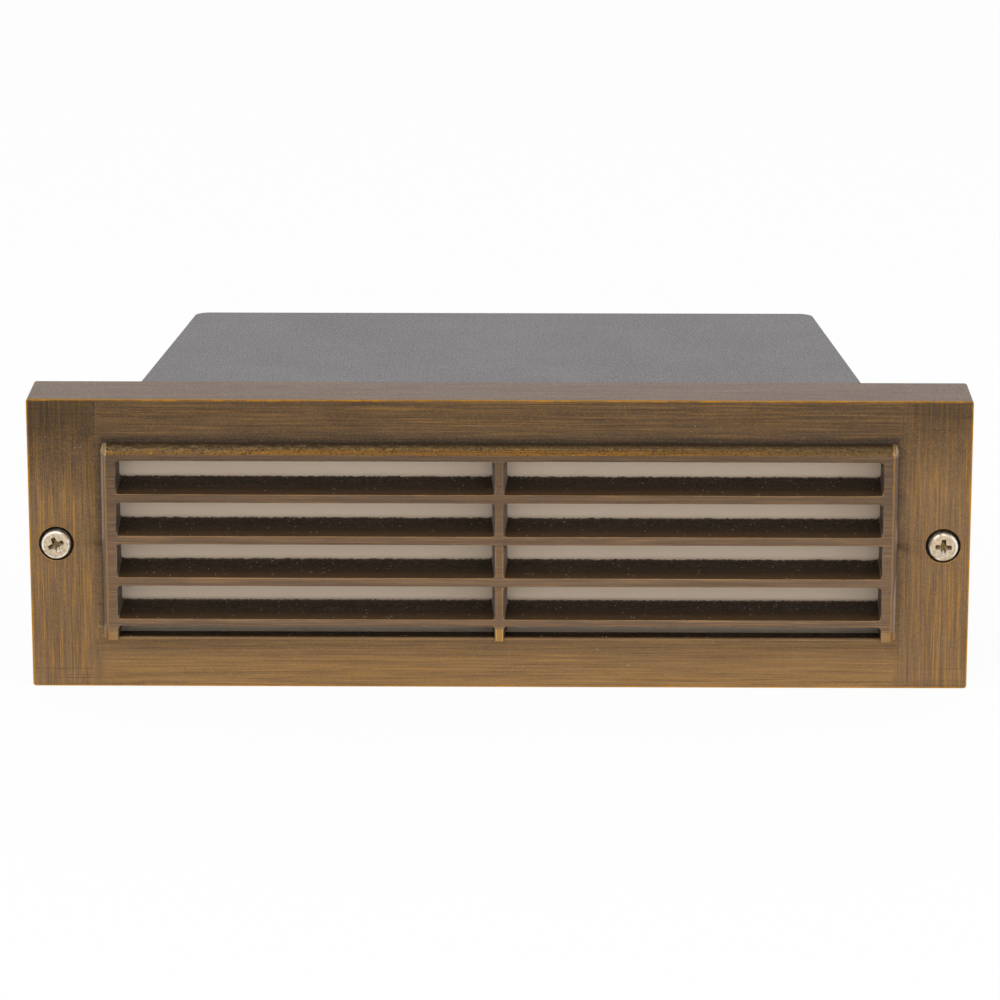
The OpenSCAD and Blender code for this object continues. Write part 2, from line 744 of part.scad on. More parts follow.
// Half outline of the porcelain body, turned about its axis
module porcelain_outline() {
    r = holder_d / 2;
    rim_r = r - holder_rim_step;
    difference() {
        union() {
            square([r, holder_collar_l]);
            square([rim_r, holder_l - holder_rim_r]);
            square([rim_r - holder_rim_r, holder_l]);
            translate([rim_r - holder_rim_r, holder_l - holder_rim_r]) circle(holder_rim_r);
        }
        translate([0, holder_floor]) square([holder_bore_r, holder_l]);
    }
}

module lampholder_body() color([0.94, 0.93, 0.89]) difference() {
    translate([-holder_x, lamp_y, 0]) rotate([0, 90, 0]) rotate_extrude() porcelain_outline();
    for (s = [-1, 1])
        bar_x(-holder_x - over, -holder_x + pilot_l + over, lamp_y, s * holder_screw_r,
              holder_screw_d + 2 * slip);
}

module lampholder_sleeve() color([0.8, 0.78, 0.72]) difference() {
    bar_x(bore_floor_x + slip, holder_end_x - sleeve_short, lamp_y, 0, 2 * (sleeve_r + sleeve_t));
    bar_x(bore_floor_x - over, holder_end_x + over, lamp_y, 0, 2 * sleeve_r);
}

module lampholder_contact() color([0.75, 0.6, 0.3]) {
    bar_x(bore_floor_x, bore_floor_x + contact_base_t, lamp_y, 0, contact_base_d);
    bar_x(bore_floor_x + contact_base_t, bore_floor_x + contact_h, lamp_y, 0, contact_d);
}

module lampholder_screws() color([0.75, 0.75, 0.74]) for (s = [-1, 1])
    translate([-holder_x - bracket_t - holder_head_h, lamp_y, s * holder_screw_r]) rotate([0, 0, -90])
        pan_screw(holder_head_d, holder_head_h, holder_screw_d, bracket_t + pilot_l);

module lead_bushing() color([0.15, 0.15, 0.15]) difference() {
    union() {
        bar_y(bushing_x, 0, foot_y - bushing_flange_t, foot_y, 2 * bushing_flange_r);
        bar_y(bushing_x, 0, foot_y, tray_d, 2 * bushing_r);
        bar_y(bushing_x, 0, tray_d, tray_d + bushing_flange_t, 2 * bushing_flange_r);
    }
    bar_y(bushing_x, 0, foot_y - bushing_flange_t - over, tray_d + bushing_flange_t + over, bushing_bore);
}

// Lamp, drawn along +Z from its contact tip and laid along +X

module lamp_place() translate([lamp_x, lamp_y, 0]) rotate([0, 90, 0]) children();

// Half outline of the glass, drawn in by t
module bulb_outline(t) {
    r = bulb_r - t;
    n = neck_r - slip - t;
    intersection() {
        union() {
            translate([0, bulb_z]) circle(r);
            polygon([[0, glass_from], [n, glass_from], [n, base_to + 2],
                     [r * cos(neck_lean), bulb_z - r * sin(neck_lean)], [0, bulb_z]]);
        }
        translate([0, glass_from - over]) square([bulb_r + over, lamp_l]);
    }
}

module lamp_glass() color([0.95, 0.95, 0.93, 0.6]) lamp_place() rotate_extrude() difference() {
    bulb_outline(0);
    bulb_outline(glass_t);
    translate([-over, glass_from - over]) square([neck_r - slip - glass_t + over, over + glass_t]);
}

module lamp_stem() color([0.85, 0.9, 0.9]) lamp_place() difference() {
    union() {
        translate([0, 0, stem_disc_z]) cylinder(h = stem_disc_t, r = neck_r - glass_t - 2 * slip);
        translate([0, 0, stem_z]) cylinder(h = stem_l, r1 = stem_foot_r, r2 = stem_tip_r, $fn = 24);
    }
    for (s = [-1, 1]) translate([0, s * wire_x, wire_foot_z - slip])
        cylinder(h = stem_l, d = wire_d + 2 * slip);
}

module lamp_filament() color([0.45, 0.45, 0.45]) lamp_place() {
    arm_z = filament_z - filament_drop;
    coil_l = 2 * (filament_half_w + wire_lap);
    for (s = [-1, 1]) {
        translate([0, s * filament_half_w, arm_z]) cylinder(h = filament_drop + wire_lap, d = wire_d);
        translate([0, s * wire_x, wire_foot_z]) cylinder(h = arm_z + 2 * wire_lap - wire_foot_z, d = wire_d);
        translate([0, s * (wire_x - wire_lap), arm_z]) rotate([-90 * s, 0, 0])
            cylinder(h = filament_half_w - wire_x + 2 * wire_lap, d = wire_d);
    }
    translate([0, -coil_l / 2, filament_z]) rotate([-90, 0, 0]) cylinder(h = coil_l, d = coil_d);
}

// Half outline of the threaded base: a wave that repeats with the thread
module base_outline() {
    turns = floor((base_to - base_from - first_crest - crest_r) / lamp_pitch) + 1;
    difference() {
        union() {
            translate([0, base_from]) square([base_d / 2 - thread_depth, base_to - base_from]);
            for (i = [0:turns - 1])
                translate([base_d / 2 - crest_r, base_from + first_crest + i * lamp_pitch]) circle(crest_r);
        }
        translate([-base_d, base_from - over]) square([base_d + neck_r, base_to]);
    }
}

module lamp_base() color([0.78, 0.76, 0.7]) lamp_place() {
    rotate_extrude() base_outline();
    translate([0, 0, base_from]) difference() {
        cylinder(h = base_floor_t, r = neck_r + slip);
        translate([0, 0, -over]) cylinder(h = base_floor_t + 2 * over, d = base_floor_bore);
    }
}

module lamp_insulator() color([0.08, 0.08, 0.1]) lamp_place()
    translate([0, 0, tip_t]) cylinder(h = base_from - tip_t, r1 = insulator_tip_r, r2 = neck_r);

module lamp_contact() color([0.72, 0.7, 0.66]) lamp_place() cylinder(h = tip_t, d = tip_d);

// Leads and their connectors

module lead_black() color([0.08, 0.08, 0.08]) lead(route_black, lead_d);
module lead_white() color([0.9, 0.9, 0.88]) lead(route_white, lead_d);
module lead_green() color([0.1, 0.45, 0.2]) lead(route_green, lead_d);

// A wire connector along +X with a blind bore for the leads
module connector(x, y, z) {
    translate([x, y, z]) rotate([0, 90, 0]) difference() {
        union() {
            cylinder(h = nut_skirt_l, d = nut_d);
            translate([0, 0, nut_skirt_l])
                cylinder(h = nut_l - nut_skirt_l, d1 = nut_d - nut_step, d2 = nut_tip_d);
        }
        translate([0, 0, -over]) cylinder(h = nut_skirt_l + over, d = nut_d - 2 * nut_wall);
        cylinder(h = nut_bore_l, d = lead_d + 2 * slip);
    }
}

module connector_black() color([0.85, 0.5, 0.1]) connector(nut_x, nut_y, nut_z);
module connector_white() color([0.85, 0.5, 0.1]) connector(nut_x, nut_y, -nut_z);
module connector_green() color([0.1, 0.45, 0.2]) connector(green_nut_x, green_nut_y, 0);

module ground_terminal() color([0.75, 0.74, 0.7]) difference() {
    union() {
        bar_y(0, 0, ground_y - terminal_t, ground_y, 2 * terminal_r);
        translate([-strap_w / 2, ground_y - terminal_t, 0]) cube([strap_w, terminal_t, barrel_z]);
        bar_y(0, barrel_z, barrel_y, ground_y, lead_d + 2 * barrel_wall);
    }
    bar_y(0, 0, ground_y - terminal_t - over, ground_y + over, post_screw_d + 2 * slip);
}

module ground_screw() color([0.1, 0.5, 0.25])
    translate([0, ground_y - terminal_t - ground_head_h, 0])
        pan_screw(ground_head_d, ground_head_h, post_screw_d, ground_screw_l);

// Closure plug in the left conduit entry

module closure_plug() color([0.5, 0.5, 0.5]) difference() {
    union() {
        bar_y(-entry_x, 0, plug_y, plug_end_y, plug_head_d);
        bar_y(-entry_x, 0, hub_y + plug_short, plug_y + over, entry_d - 2 * slip);
    }
    translate([-entry_x - plug_slot_l / 2, plug_end_y - plug_slot_depth, -plug_slot_w / 2])
        cube([plug_slot_l, plug_slot_depth + over, plug_slot_w]);
    bar_y(-entry_x, 0, hub_y, housing_d - plug_floor, entry_d - 2 * plug_wall);
}

module closure_washer() color([0.55, 0.25, 0.15]) difference() {
    bar_y(-entry_x, 0, housing_d, plug_y, plug_head_d - 2 * washer_in);
    bar_y(-entry_x, 0, housing_d - over, plug_y + over, entry_d + 2 * slip);
}

face_plate();
cover_screw(-1);  // cover_screw_left
cover_screw(1);  // cover_screw_right
sealing_washer(-1);  // sealing_washer_left
sealing_washer(1);  // sealing_washer_right
lens();
lens_gasket();
housing();
thread_inserts();
reflector();
reflector_screws();
lampholder_body();
lampholder_sleeve();
lampholder_contact();
lampholder_bracket();
lampholder_screws();
bracket_screws();
lead_bushing();
lamp_glass();
lamp_stem();
lamp_filament();
lamp_base();
lamp_insulator();
lamp_contact();
lead_black();
lead_white();
lead_green();
connector_black();
connector_white();
connector_green();
ground_terminal();
ground_screw();
closure_plug();
closure_washer();
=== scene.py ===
import math
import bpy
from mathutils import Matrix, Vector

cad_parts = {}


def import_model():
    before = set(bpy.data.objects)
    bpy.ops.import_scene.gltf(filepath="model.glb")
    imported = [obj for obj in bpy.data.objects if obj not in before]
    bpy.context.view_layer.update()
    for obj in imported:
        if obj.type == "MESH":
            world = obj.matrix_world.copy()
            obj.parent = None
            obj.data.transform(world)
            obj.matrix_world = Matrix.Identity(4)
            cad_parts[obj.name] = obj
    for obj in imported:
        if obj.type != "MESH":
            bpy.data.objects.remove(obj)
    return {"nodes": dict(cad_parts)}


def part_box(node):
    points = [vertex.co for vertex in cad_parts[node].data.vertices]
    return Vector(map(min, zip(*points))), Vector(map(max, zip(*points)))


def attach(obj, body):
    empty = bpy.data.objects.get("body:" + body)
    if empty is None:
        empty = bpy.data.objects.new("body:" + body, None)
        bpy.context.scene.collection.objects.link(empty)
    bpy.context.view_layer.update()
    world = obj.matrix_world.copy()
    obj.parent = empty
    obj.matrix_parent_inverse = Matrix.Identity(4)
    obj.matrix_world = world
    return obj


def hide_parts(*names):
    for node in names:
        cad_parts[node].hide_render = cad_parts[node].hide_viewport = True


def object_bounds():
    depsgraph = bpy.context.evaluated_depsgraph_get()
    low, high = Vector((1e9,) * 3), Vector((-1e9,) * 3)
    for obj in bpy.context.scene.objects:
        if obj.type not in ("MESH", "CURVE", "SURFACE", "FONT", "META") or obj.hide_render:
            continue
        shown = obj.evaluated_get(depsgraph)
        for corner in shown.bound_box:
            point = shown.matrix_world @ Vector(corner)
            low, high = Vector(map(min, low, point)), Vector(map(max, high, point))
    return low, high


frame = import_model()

from types import SimpleNamespace

import bmesh
import bpy
from mathutils import Matrix, Vector, noise

cad_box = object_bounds()

MM = 0.001
NODES = frame["nodes"]

# Places and sizes on the part, in millimetres.
PLATE_X = 117.5                 # half the plate's width
PLATE_Z = 37.2                  # half its height
FACE_Y = -19.0                  # the plate's front face
FRONT_Y = -21.5                 # front of the raised frame, the middle rib and the blades
MIDDLE_Y = -15.0                # about the middle of the louvre's depth
BLADE_BACK_Y = -9.5
FOOT_X = 99.4                   # foot of the raised frame's sides
STILE_X = 97.0                  # a line down the front of those sides
OPEN_X = 95.5                   # half the width of the louvre's opening
BAY_X = 48.0                    # middle of a column of slots
HOOD_TOP_Z = 26.3               # where the rounded hood leaves the plate
HOOD_FRONT_Z = 23.5             # where it meets the front of the raised frame
GILT_Z = 24.95                  # top of the golden band along its foot
RAIL_Z = 22.0                   # top of the highest slots
BLADE_PITCH = 10.75
BLADE_TOP_Z = 13.5              # front top edge of the highest blade
BLADE_T = 2.25                  # thickness of a blade
BLADE_RISE = 1.7 / 12.0         # rise of a blade for each millimetre towards its back
SCREW_X = 110.75
SCREW_FACE_Y = -20.5            # face of the cover screws' heads
SCREW_BACK_Y = -18.0            # about the back of those heads
LAMP_TIP = (-52.2, 33.0, 0.0)   # the lamp's contact tip, where its axis starts
LAMP_PITCH = 3.63
LAMP_CREST = 7.0                # first crest of the lamp's thread from its tip
LAMP_THREAD = 0.8               # depth of that thread

WHITE = (1.0, 1.0, 1.0, 1.0)
PLAIN_LIGHT = 0.75              # strength of the room's even light on the part
FLOOR_GLOW = 0.94               # share of plain white in the floor as the camera sees it


# ---------------------------------------------------------------- finishes

def tone(r, g, b):
    """A colour given as it looks on a screen, 0 to 255, as linear light."""
    def line(c):
        c /= 255
        return c / 12.92 if c <= 0.04045 else ((c + 0.055) / 1.055) ** 2.4
    return (line(r), line(g), line(b), 1.0)


class Wire:
    """A socket of a finish. Arithmetic on it adds Math nodes."""

    def __init__(self, finish, socket):
        self.finish, self.socket = finish, socket

    def maths(self, operation, *values):
        sockets = dict(enumerate(values))
        return self.finish.node("ShaderNodeMath", {"operation": operation}, sockets)

    def __add__(self, other): return self.maths("ADD", self, other)
    def __radd__(self, other): return self.maths("ADD", other, self)
    def __sub__(self, other): return self.maths("SUBTRACT", self, other)
    def __rsub__(self, other): return self.maths("SUBTRACT", other, self)
    def __mul__(self, other): return self.maths("MULTIPLY", self, other)
    def __rmul__(self, other): return self.maths("MULTIPLY", other, self)
    def __abs__(self): return self.maths("ABSOLUTE", self)
    def __mod__(self, other): return self.maths("FLOORED_MODULO", self, other)
    def least(self, other): return self.maths("MINIMUM", self, other)
    def most(self, other): return self.maths("MAXIMUM", self, other)
    def root(self): return self.maths("SQRT", self)


class Finish:
    """A procedural material on a piece's object coordinates, in millimetres."""

    def __init__(self, name, metallic=0.0, specular=0.5, transmission=0.0):
        self.data = bpy.data.materials.new(name)
        self.data.use_nodes = True
        self.tree = self.data.node_tree
        self.tree.nodes.clear()
        self.shader = self.tree.nodes.new("ShaderNodeBsdfPrincipled")
        output = self.tree.nodes.new("ShaderNodeOutputMaterial")
        self.tree.links.new(self.shader.outputs[0], output.inputs[0])
        self.set(Metallic=metallic, Specular_IOR_Level=specular, Transmission_Weight=transmission)
        object_place = self.node("ShaderNodeTexCoord", out="Object")
        self.place = self.node("ShaderNodeVectorMath", {"operation": "SCALE"},
                               {"Vector": object_place, "Scale": 1 / MM})
        self.x, self.y, self.z = self.split(self.place)

    def join(self, value, socket):
        """Links a wire to a socket, or sets the socket to a plain value."""
        if isinstance(value, Wire):
            self.tree.links.new(value.socket, socket)
        else:
            socket.default_value = value

    def node(self, kind, settings=None, sockets=None, out=0):
        n = self.tree.nodes.new(kind)
        for key, value in (settings or {}).items():
            setattr(n, key, value)
        for key, value in (sockets or {}).items():
            self.join(value, n.inputs[key])
        return Wire(self, n.outputs[out])

    def split(self, vector):
        n = self.node("ShaderNodeSeparateXYZ", sockets={0: vector}).socket.node
        return [Wire(self, s) for s in n.outputs]

    def stretch(self, sx, sy, sz, shift=(0, 0, 0)):
        return self.node("ShaderNodeMapping", sockets={
            "Vector": self.place, "Scale": (sx, sy, sz), "Location": shift})

    def noise(self, scale, detail=3.0, rough=0.5, vector=None, warp=0.0):
        return self.node("ShaderNodeTexNoise", sockets={
            "Vector": vector or self.place, "Scale": scale, "Detail": detail,
            "Roughness": rough, "Distortion": warp}, out="Fac")

    def cells(self, scale, vector):
        return self.node("ShaderNodeTexVoronoi", sockets={"Vector": vector, "Scale": scale},
                         out="Distance")

    def step(self, value, low, high, smooth=True):
        """0 below low, 1 above high, or the other way round where low is the greater."""
        kind = "SMOOTHSTEP" if smooth else "LINEAR"
        return self.node("ShaderNodeMapRange", {"interpolation_type": kind, "clamp": True},
                         {"Value": value, "From Min": low, "From Max": high,
                          "To Min": 0.0, "To Max": 1.0})

    def mix(self, a, b, factor):
        return self.node("ShaderNodeMix", {"data_type": "RGBA", "clamp_factor": True},
                         {0: factor, 6: a, 7: b}, out=2)

    def shade(self, colour, factor):
        """The colour times a value."""
        return self.node("ShaderNodeVectorMath", {"operation": "SCALE"},
                         {"Vector": colour, "Scale": factor})

    def facing(self):
        """The surface's direction on the piece."""
        return self.split(self.node("ShaderNodeTexCoord", out="Normal"))

    def mark(self, name):
        """A value painted on the mesh."""
        return self.node("ShaderNodeAttribute", {"attribute_name": name}, out="Fac")

    def set(self, **sockets):
        for key, value in sockets.items():
            self.join(value, self.shader.inputs[key.replace("_", " ")])

    def bump(self, height, distance):
        """Bumps of this height, with distance in millimetres."""
        self.set(Normal=self.node("ShaderNodeBump", sockets={
            "Height": height, "Distance": distance * MM}))
        return self


# ---------------------------------------------------------------- bronze

def brushing(f, scales, seed):
    """Streaks of a wire brush. Each is long along the axis with the small scale."""
    wide = f.noise(1.0, 3.0, 0.6, f.stretch(*[s * 0.5 for s in scales], shift=(seed, 0, seed)))
    fine = f.noise(1.0, 3.0, 0.75, f.stretch(*scales, shift=(0, seed, seed)))
    return wide * 0.4 + fine * 0.6


def bronze_marks(f):
    """The places and streaks that the parts of the bronze finish share. Each place is 1 in it."""
    m = SimpleNamespace()
    m.nx, m.ny, m.nz = f.facing()
    m.reach = abs(f.x)
    m.outline = abs(f.z).most(m.reach - (PLATE_X - PLATE_Z))       # PLATE_Z all round the plate
    m.skin = f.noise(1.1, 5.0, 0.7)
    m.speck = f.noise(3.4, 2.0, 0.6)
    m.wander = f.noise(0.25, 2.0)
    m.patch = f.noise(0.9, 5.0, 0.65, f.stretch(0.3, 1, 1))
    m.rough_skin = f.noise(2.3, 4.0, 0.65, f.stretch(0.55, 1, 1, (4, 4, 4)))

    # places
    m.flat = f.step(f.y, FACE_Y - 0.35, FACE_Y - 0.15)             # 0 on the raised frame
    m.ends = f.step(m.reach + (m.wander - 0.5) * 4.0, FOOT_X - 0.9, FOOT_X + 2.3)
    m.corner = f.step(abs(f.z) + (m.wander - 0.5) * 8.0, 25.0, 35.0) * f.step(m.reach, 96.0, 105.0)
    hood_foot = f.z + (m.patch - 0.5) * 0.5 + (m.rough_skin - 0.5) * 0.3
    m.hood = f.step(hood_foot, HOOD_FRONT_Z, HOOD_FRONT_Z + 0.2) * (1.0 - m.flat)
    m.hood = m.hood * f.step(m.nx * m.nx, 0.5, 0.3) * f.step(f.z, HOOD_TOP_Z + 0.3, HOOD_TOP_Z)
    m.inside = f.step(m.reach, OPEN_X + 0.05, OPEN_X - 0.02) * f.step(abs(m.ny), 0.75, 0.6)
    m.inside = m.inside * f.step(f.y, FRONT_Y + 0.2, FRONT_Y + 0.5)
    m.inside = m.inside * f.step(f.z, HOOD_FRONT_Z, RAIL_Z + 0.2) * f.step(f.z, -33.0, -32.0)
    m.back = f.step(f.y, FACE_Y + 0.5, FACE_Y + 2.5)
    m.back = m.back * f.step(m.outline, PLATE_Z - 0.05, PLATE_Z - 0.3)
    above = f.z - (BLADE_TOP_Z - 0.5) - (f.y - FRONT_Y) * BLADE_RISE
    m.above_blade = above % BLADE_PITCH - 0.5                      # height over the next blade down
    m.wear = f.mark("wear")

    # brushing: along the rails, down the plate's ends, and across each other at its corners
    m.run_x = brushing(f, (0.05, 0.35, 3.4), 3.1)
    run_z = brushing(f, (3.4, 0.35, 0.05), 7.7)
    m.brush = f.mix(m.run_x, run_z, m.ends)
    m.cross = f.mix(m.brush, (m.run_x.least(run_z) - 0.46) * 1.7 + 0.52, m.corner * 0.85)
    m.streak = f.step(m.cross, 0.28, 0.72)
    hair_x = f.noise(1.0, 2.0, 0.6, f.stretch(0.05, 0.09, 3.6, (5, 1, 9)))
    hair_z = f.noise(1.0, 2.0, 0.6, f.stretch(2.9, 0.09, 0.05, (2, 6, 4)))
    m.hair = f.mix(hair_x, hair_z, m.ends)
    m.gold_run = f.step(m.hair + (m.cross - 0.5) * 0.3, 0.54, 0.66)
    m.dark_run = f.step(m.hair + (m.cross - 0.5) * 0.4, 0.43, 0.31)
    return m


def brushed_face(f, m):
    """The plate's front: golden rails below the louvre, rails above it darker partly by painted
    shade, and ends darker at their top by painted shade.
    """
    x, z = f.x, f.z
    cloud = f.noise(0.06, 3.0, 0.6, f.stretch(1, 1, 2.2))
    # painted shade and light, in part: the rails darker above the louvre than below it
    below = f.step(z, 15.0, -15.0)
    low = f.mix(tone(50, 37, 24), tone(94, 71, 47), below)
    high = f.mix(tone(106, 80, 51), tone(142, 109, 70), below)
    rail = f.mix(low, high, f.step(m.cross + (cloud - 0.5) * 0.3, 0.18, 0.82))
    golden = f.step(z + (cloud - 0.5) * 10, -25.0, -38.0)
    rail = f.mix(rail, tone(158, 118, 66), golden * m.streak * 0.55)
    rail = f.mix(rail, tone(72, 55, 38), f.step(z, -30.0, -25.0) * f.step(z, 0.0, -20.0) * 0.4)
    end_band = f.mix(tone(89, 69, 49), tone(138, 106, 71), m.streak)
    end_band = f.mix(end_band, tone(114, 95, 80), f.step(m.run_x, 0.52, 0.62) * 0.3)
    face = f.mix(rail, end_band, m.ends)
    face = f.mix(face, tone(174, 124, 32), m.gold_run * (0.16 + m.ends * 0.38))
    face = f.mix(face, tone(44, 35, 27), m.dark_run * (0.17 + m.corner * 0.2))

    # darker round the raised frame, as patina and painted shade; painted shadow against its sides,
    # and painted shadow with patina along the top of its hood
    patina_and_shade_around = f.step((m.reach - FOOT_X).most(z - HOOD_TOP_Z), 5.5, 0.0) * f.step(z, -26.0, -8.0)
    face = f.mix(face, tone(62, 50, 40), patina_and_shade_around * 0.36)
    # painted shadow beside the frame's feet
    shadow_beside = f.step(m.reach - FOOT_X, 1.6, 0.1) * f.step(z, -25.5, -20.0)
    shadow_beside = shadow_beside * f.step(z, HOOD_TOP_Z + 1.0, HOOD_TOP_Z - 2.0)
    face = f.mix(face, tone(46, 37, 30), shadow_beside * 0.25)
    # painted shadow with some patina along the top of the hood
    patina_and_shadow_over_hood = f.step(z - HOOD_TOP_Z + (m.hair - 0.5) * 1.2, 2.2, 0.3) * f.step(z, 20.0, 21.0)
    patina_and_shadow_over_hood = patina_and_shadow_over_hood * f.step(m.reach, FOOT_X + 0.4, FOOT_X - 0.6)
    face = f.mix(face, tone(38, 30, 23), patina_and_shadow_over_hood * 0.85)
    # painted shade: the ends darker towards their top, more on the left
    painted_shade_high = f.step(z - x * 0.02 + (m.wander - 0.5) * 10, 12.0, 32.0, smooth=False)
    return f.mix(face, f.shade(face, x * 0.0004 + 0.35), painted_shade_high * m.ends)


def raised_frame(f, m):
    """The raised frame with its flanks pale as painted light, the middle rib and the blades'
    fronts, darker at the top by painted shade.
    """
    y, z = f.y, f.z
    proud = f.mix(tone(85, 67, 52), tone(116, 92, 69), f.step(m.run_x, 0.28, 0.72))
    proud = f.mix(proud, tone(124, 102, 88), f.step(m.hair, 0.5, 0.62) * 0.35)
    proud = f.mix(proud, tone(166, 118, 44), m.gold_run * 0.25)
    # painted shade: the frame and the blades darker towards the top
    proud = f.mix(proud, f.shade(proud, 0.62), f.step(z, -4.0, 23.0, smooth=False))
    # the flanks: pale as painted light, with painted shade at their foot and a painted highlight at
    # their top
    flank = f.mix(tone(132, 115, 100), tone(162, 144, 130), f.step(y, FACE_Y - 0.1, FACE_Y - 1.2))
    flank = f.mix(flank, tone(196, 176, 154), f.step(z + (m.hair - 0.5) * 3.0, 22.6, 24.6) * 0.6)
    proud = f.mix(proud, flank, f.step(m.nx * m.nx, 0.1, 0.4) * 0.85)
    stile_ends = f.step(z + (m.wander - 0.5) * 2.0, -20.8, -22.8)
    stile_ends = stile_ends * f.step(m.reach, OPEN_X - 0.9, OPEN_X + 0.1)
    return f.mix(proud, tone(152, 116, 70), stile_ends * 0.7)


def cast_hood(f, m):
    """The rounded hood: brown above, with a golden band along its foot that fades to the right."""
    x, z = f.x, f.z
    turn = f.step(z, HOOD_TOP_Z - 0.2, HOOD_FRONT_Z)
    strands = f.step(f.noise(1.0, 3.0, 0.6, f.stretch(0.06, 2.0, 3.0, (1, 2, 3))), 0.3, 0.7)
    fleck = f.noise(1.5, 4.0, 0.75, f.stretch(1, 0.8, 1, (2, 9, 2)))
    gilt = f.step(x, 92.0, 40.0, smooth=False) * 0.8 + 0.2
    left = f.step(x, -52.0, -72.0)
    worked = f.step(m.rough_skin * 0.6 + fleck * 0.4, 0.4, 0.6)
    hood = f.mix(tone(70, 54, 33), tone(92, 71, 40), worked)
    hood = f.mix(hood, tone(60, 46, 26), f.step(fleck, 0.44, 0.34) * 0.35)
    crinkle = f.step(abs(m.rough_skin - 0.52), 0.035, 0.0) * f.step(turn, 0.2, 0.45)
    crinkle = crinkle * f.step(m.patch, 0.46, 0.6)
    hood = f.mix(hood, tone(184, 130, 34), crinkle * (left * 0.6 + 0.1))

    # the golden band, with a fine gold thread over it and a dark line between them
    band = f.step(z + (m.patch - 0.5) * 0.5 + left * 0.4, GILT_Z, GILT_Z - 0.3)
    gold = f.mix(tone(72, 50, 18), tone(118, 77, 8), strands * 0.7 + m.rough_skin * 0.3)
    hood = f.mix(hood, gold, band * gilt * (0.9 - left * 0.3))
    clean_gilt = gilt * (1.0 - left)
    thread = f.step(abs(z + (strands - 0.5) * 0.12 - (GILT_Z + 0.13)), 0.12, 0.02)
    thread = thread * f.step(fleck, 0.42, 0.56)
    hood = f.mix(hood, tone(150, 108, 24), thread * clean_gilt * 0.55)
    dark_line = f.step(abs(z - (GILT_Z - 0.03)), 0.09, 0.03)
    hood = f.mix(hood, tone(56, 42, 18), dark_line * clean_gilt * 0.5)

    hood = f.mix(hood, tone(34, 25, 15), m.pits * (0.35 + left * 0.4))
    glints = f.step(f.cells(1.3, f.stretch(1, 1, 1, (7, 7, 3))), 0.13, 0.06)
    hood = f.mix(hood, tone(236, 192, 96), glints * f.step(m.patch, 0.45, 0.6) * 0.7)
    # painted shade: darker along the hood's top, where it meets the plate
    return f.mix(hood, tone(42, 32, 21), f.step(turn + (m.patch - 0.5) * 0.1, 0.05, 0.01) * 0.6)


def outer_edges(f, m):
    """The plate's top and bottom faces and its end faces, each brushed along its length."""
    run_top = brushing(f, (0.05, 2.6, 0.35), 2.3)
    run_side = brushing(f, (0.35, 2.6, 0.05), 5.9)
    brushed = f.step(run_top + (m.speck - 0.5) * 1.2, 0.26, 0.76)
    top_face = f.mix(tone(84, 66, 51), tone(123, 97, 76), brushed)
    top_face = f.mix(top_face, tone(162, 136, 112), f.step(m.speck, 0.52, 0.7) * 0.4)
    side_face = f.mix(tone(98, 80, 62), tone(142, 117, 88), f.step(run_side, 0.3, 0.7))
    return f.mix(side_face, top_face, f.step(abs(m.nz), 0.55, 0.85))


def louvre_inside(f, m):
    """The louvre's inner faces: dark cast skin and painted shade with painted glints, and greyer
    upright walls with painted shade and highlights.
    """
    y, skin = f.y, m.skin
    # painted shade with the cast skin: the inner faces dark, lighter towards the front
    inner = f.mix(tone(26, 20, 14), tone(78, 59, 42), f.step(skin, 0.4, 0.66))
    near_front = f.step(y + (skin - 0.5) * 16.0, MIDDLE_Y - 0.5, FRONT_Y - 1.0)
    inner = f.mix(inner, tone(104, 77, 46), near_front * 0.85)
    gold_grains = f.step(f.cells(1.0, f.stretch(1.5, 0.6, 1.5, (6, 1, 8))), 0.3, 0.12)
    gold_grains = gold_grains * f.step(skin, 0.44, 0.56)
    inner = f.mix(inner, tone(150, 104, 46), gold_grains * (0.3 + near_front * 0.6))
    # painted glints on the blades' tops
    painted_glints = f.cells(1.0, f.stretch(1.1, 0.42, 1.1, (1, 5, 2))) + (skin - 0.5) * 0.08
    painted_glints = f.step(painted_glints, 0.16, 0.06) * f.step(f.noise(0.35, 2.0), 0.47, 0.58)
    inner = f.mix(inner, tone(240, 226, 200), painted_glints * 0.9)

    wall = f.mix(tone(84, 73, 71), tone(124, 111, 108), f.step(skin, 0.35, 0.65))
    # painted shade at the walls' top, under the blade above
    shade_under_blade = f.step(m.above_blade + (y - MIDDLE_Y) * 0.4 + (skin - 0.5) * 2.0, 5.5, 7.2)
    wall = f.mix(wall, tone(26, 21, 18), shade_under_blade * 0.85)
    # painted light at the foot of the middle rib's walls
    lit_rib_foot = f.step(m.above_blade + (y - MIDDLE_Y) * 0.3 + (skin - 0.5) * 3.0, 6.0, 3.0)
    wall = f.mix(wall, tone(172, 156, 150), f.step(m.reach, 3.0, 2.0) * lit_rib_foot * 0.6)
    # painted highlight along the walls' fillet over the blade below
    fillet_highlight = f.step(m.above_blade + (skin - 0.5) * 0.4, 0.6, 0.15)
    wall = f.mix(wall, tone(176, 160, 142), fillet_highlight * 0.7)
    lit_edge = f.step(y + (skin - 0.5) * 2.0, FRONT_Y + 1.2, FRONT_Y + 0.4)
    wall = f.mix(wall, tone(188, 158, 110), lit_edge * 0.75)
    # painted glint at the walls' lower front corners
    corner_glint_front = fillet_highlight * f.step(y, FRONT_Y + 1.9, FRONT_Y + 0.9)
    wall = f.mix(wall, tone(250, 240, 220), corner_glint_front * 0.8)
    return f.mix(inner, wall, f.step(m.nx * m.nx, 0.4, 0.7))


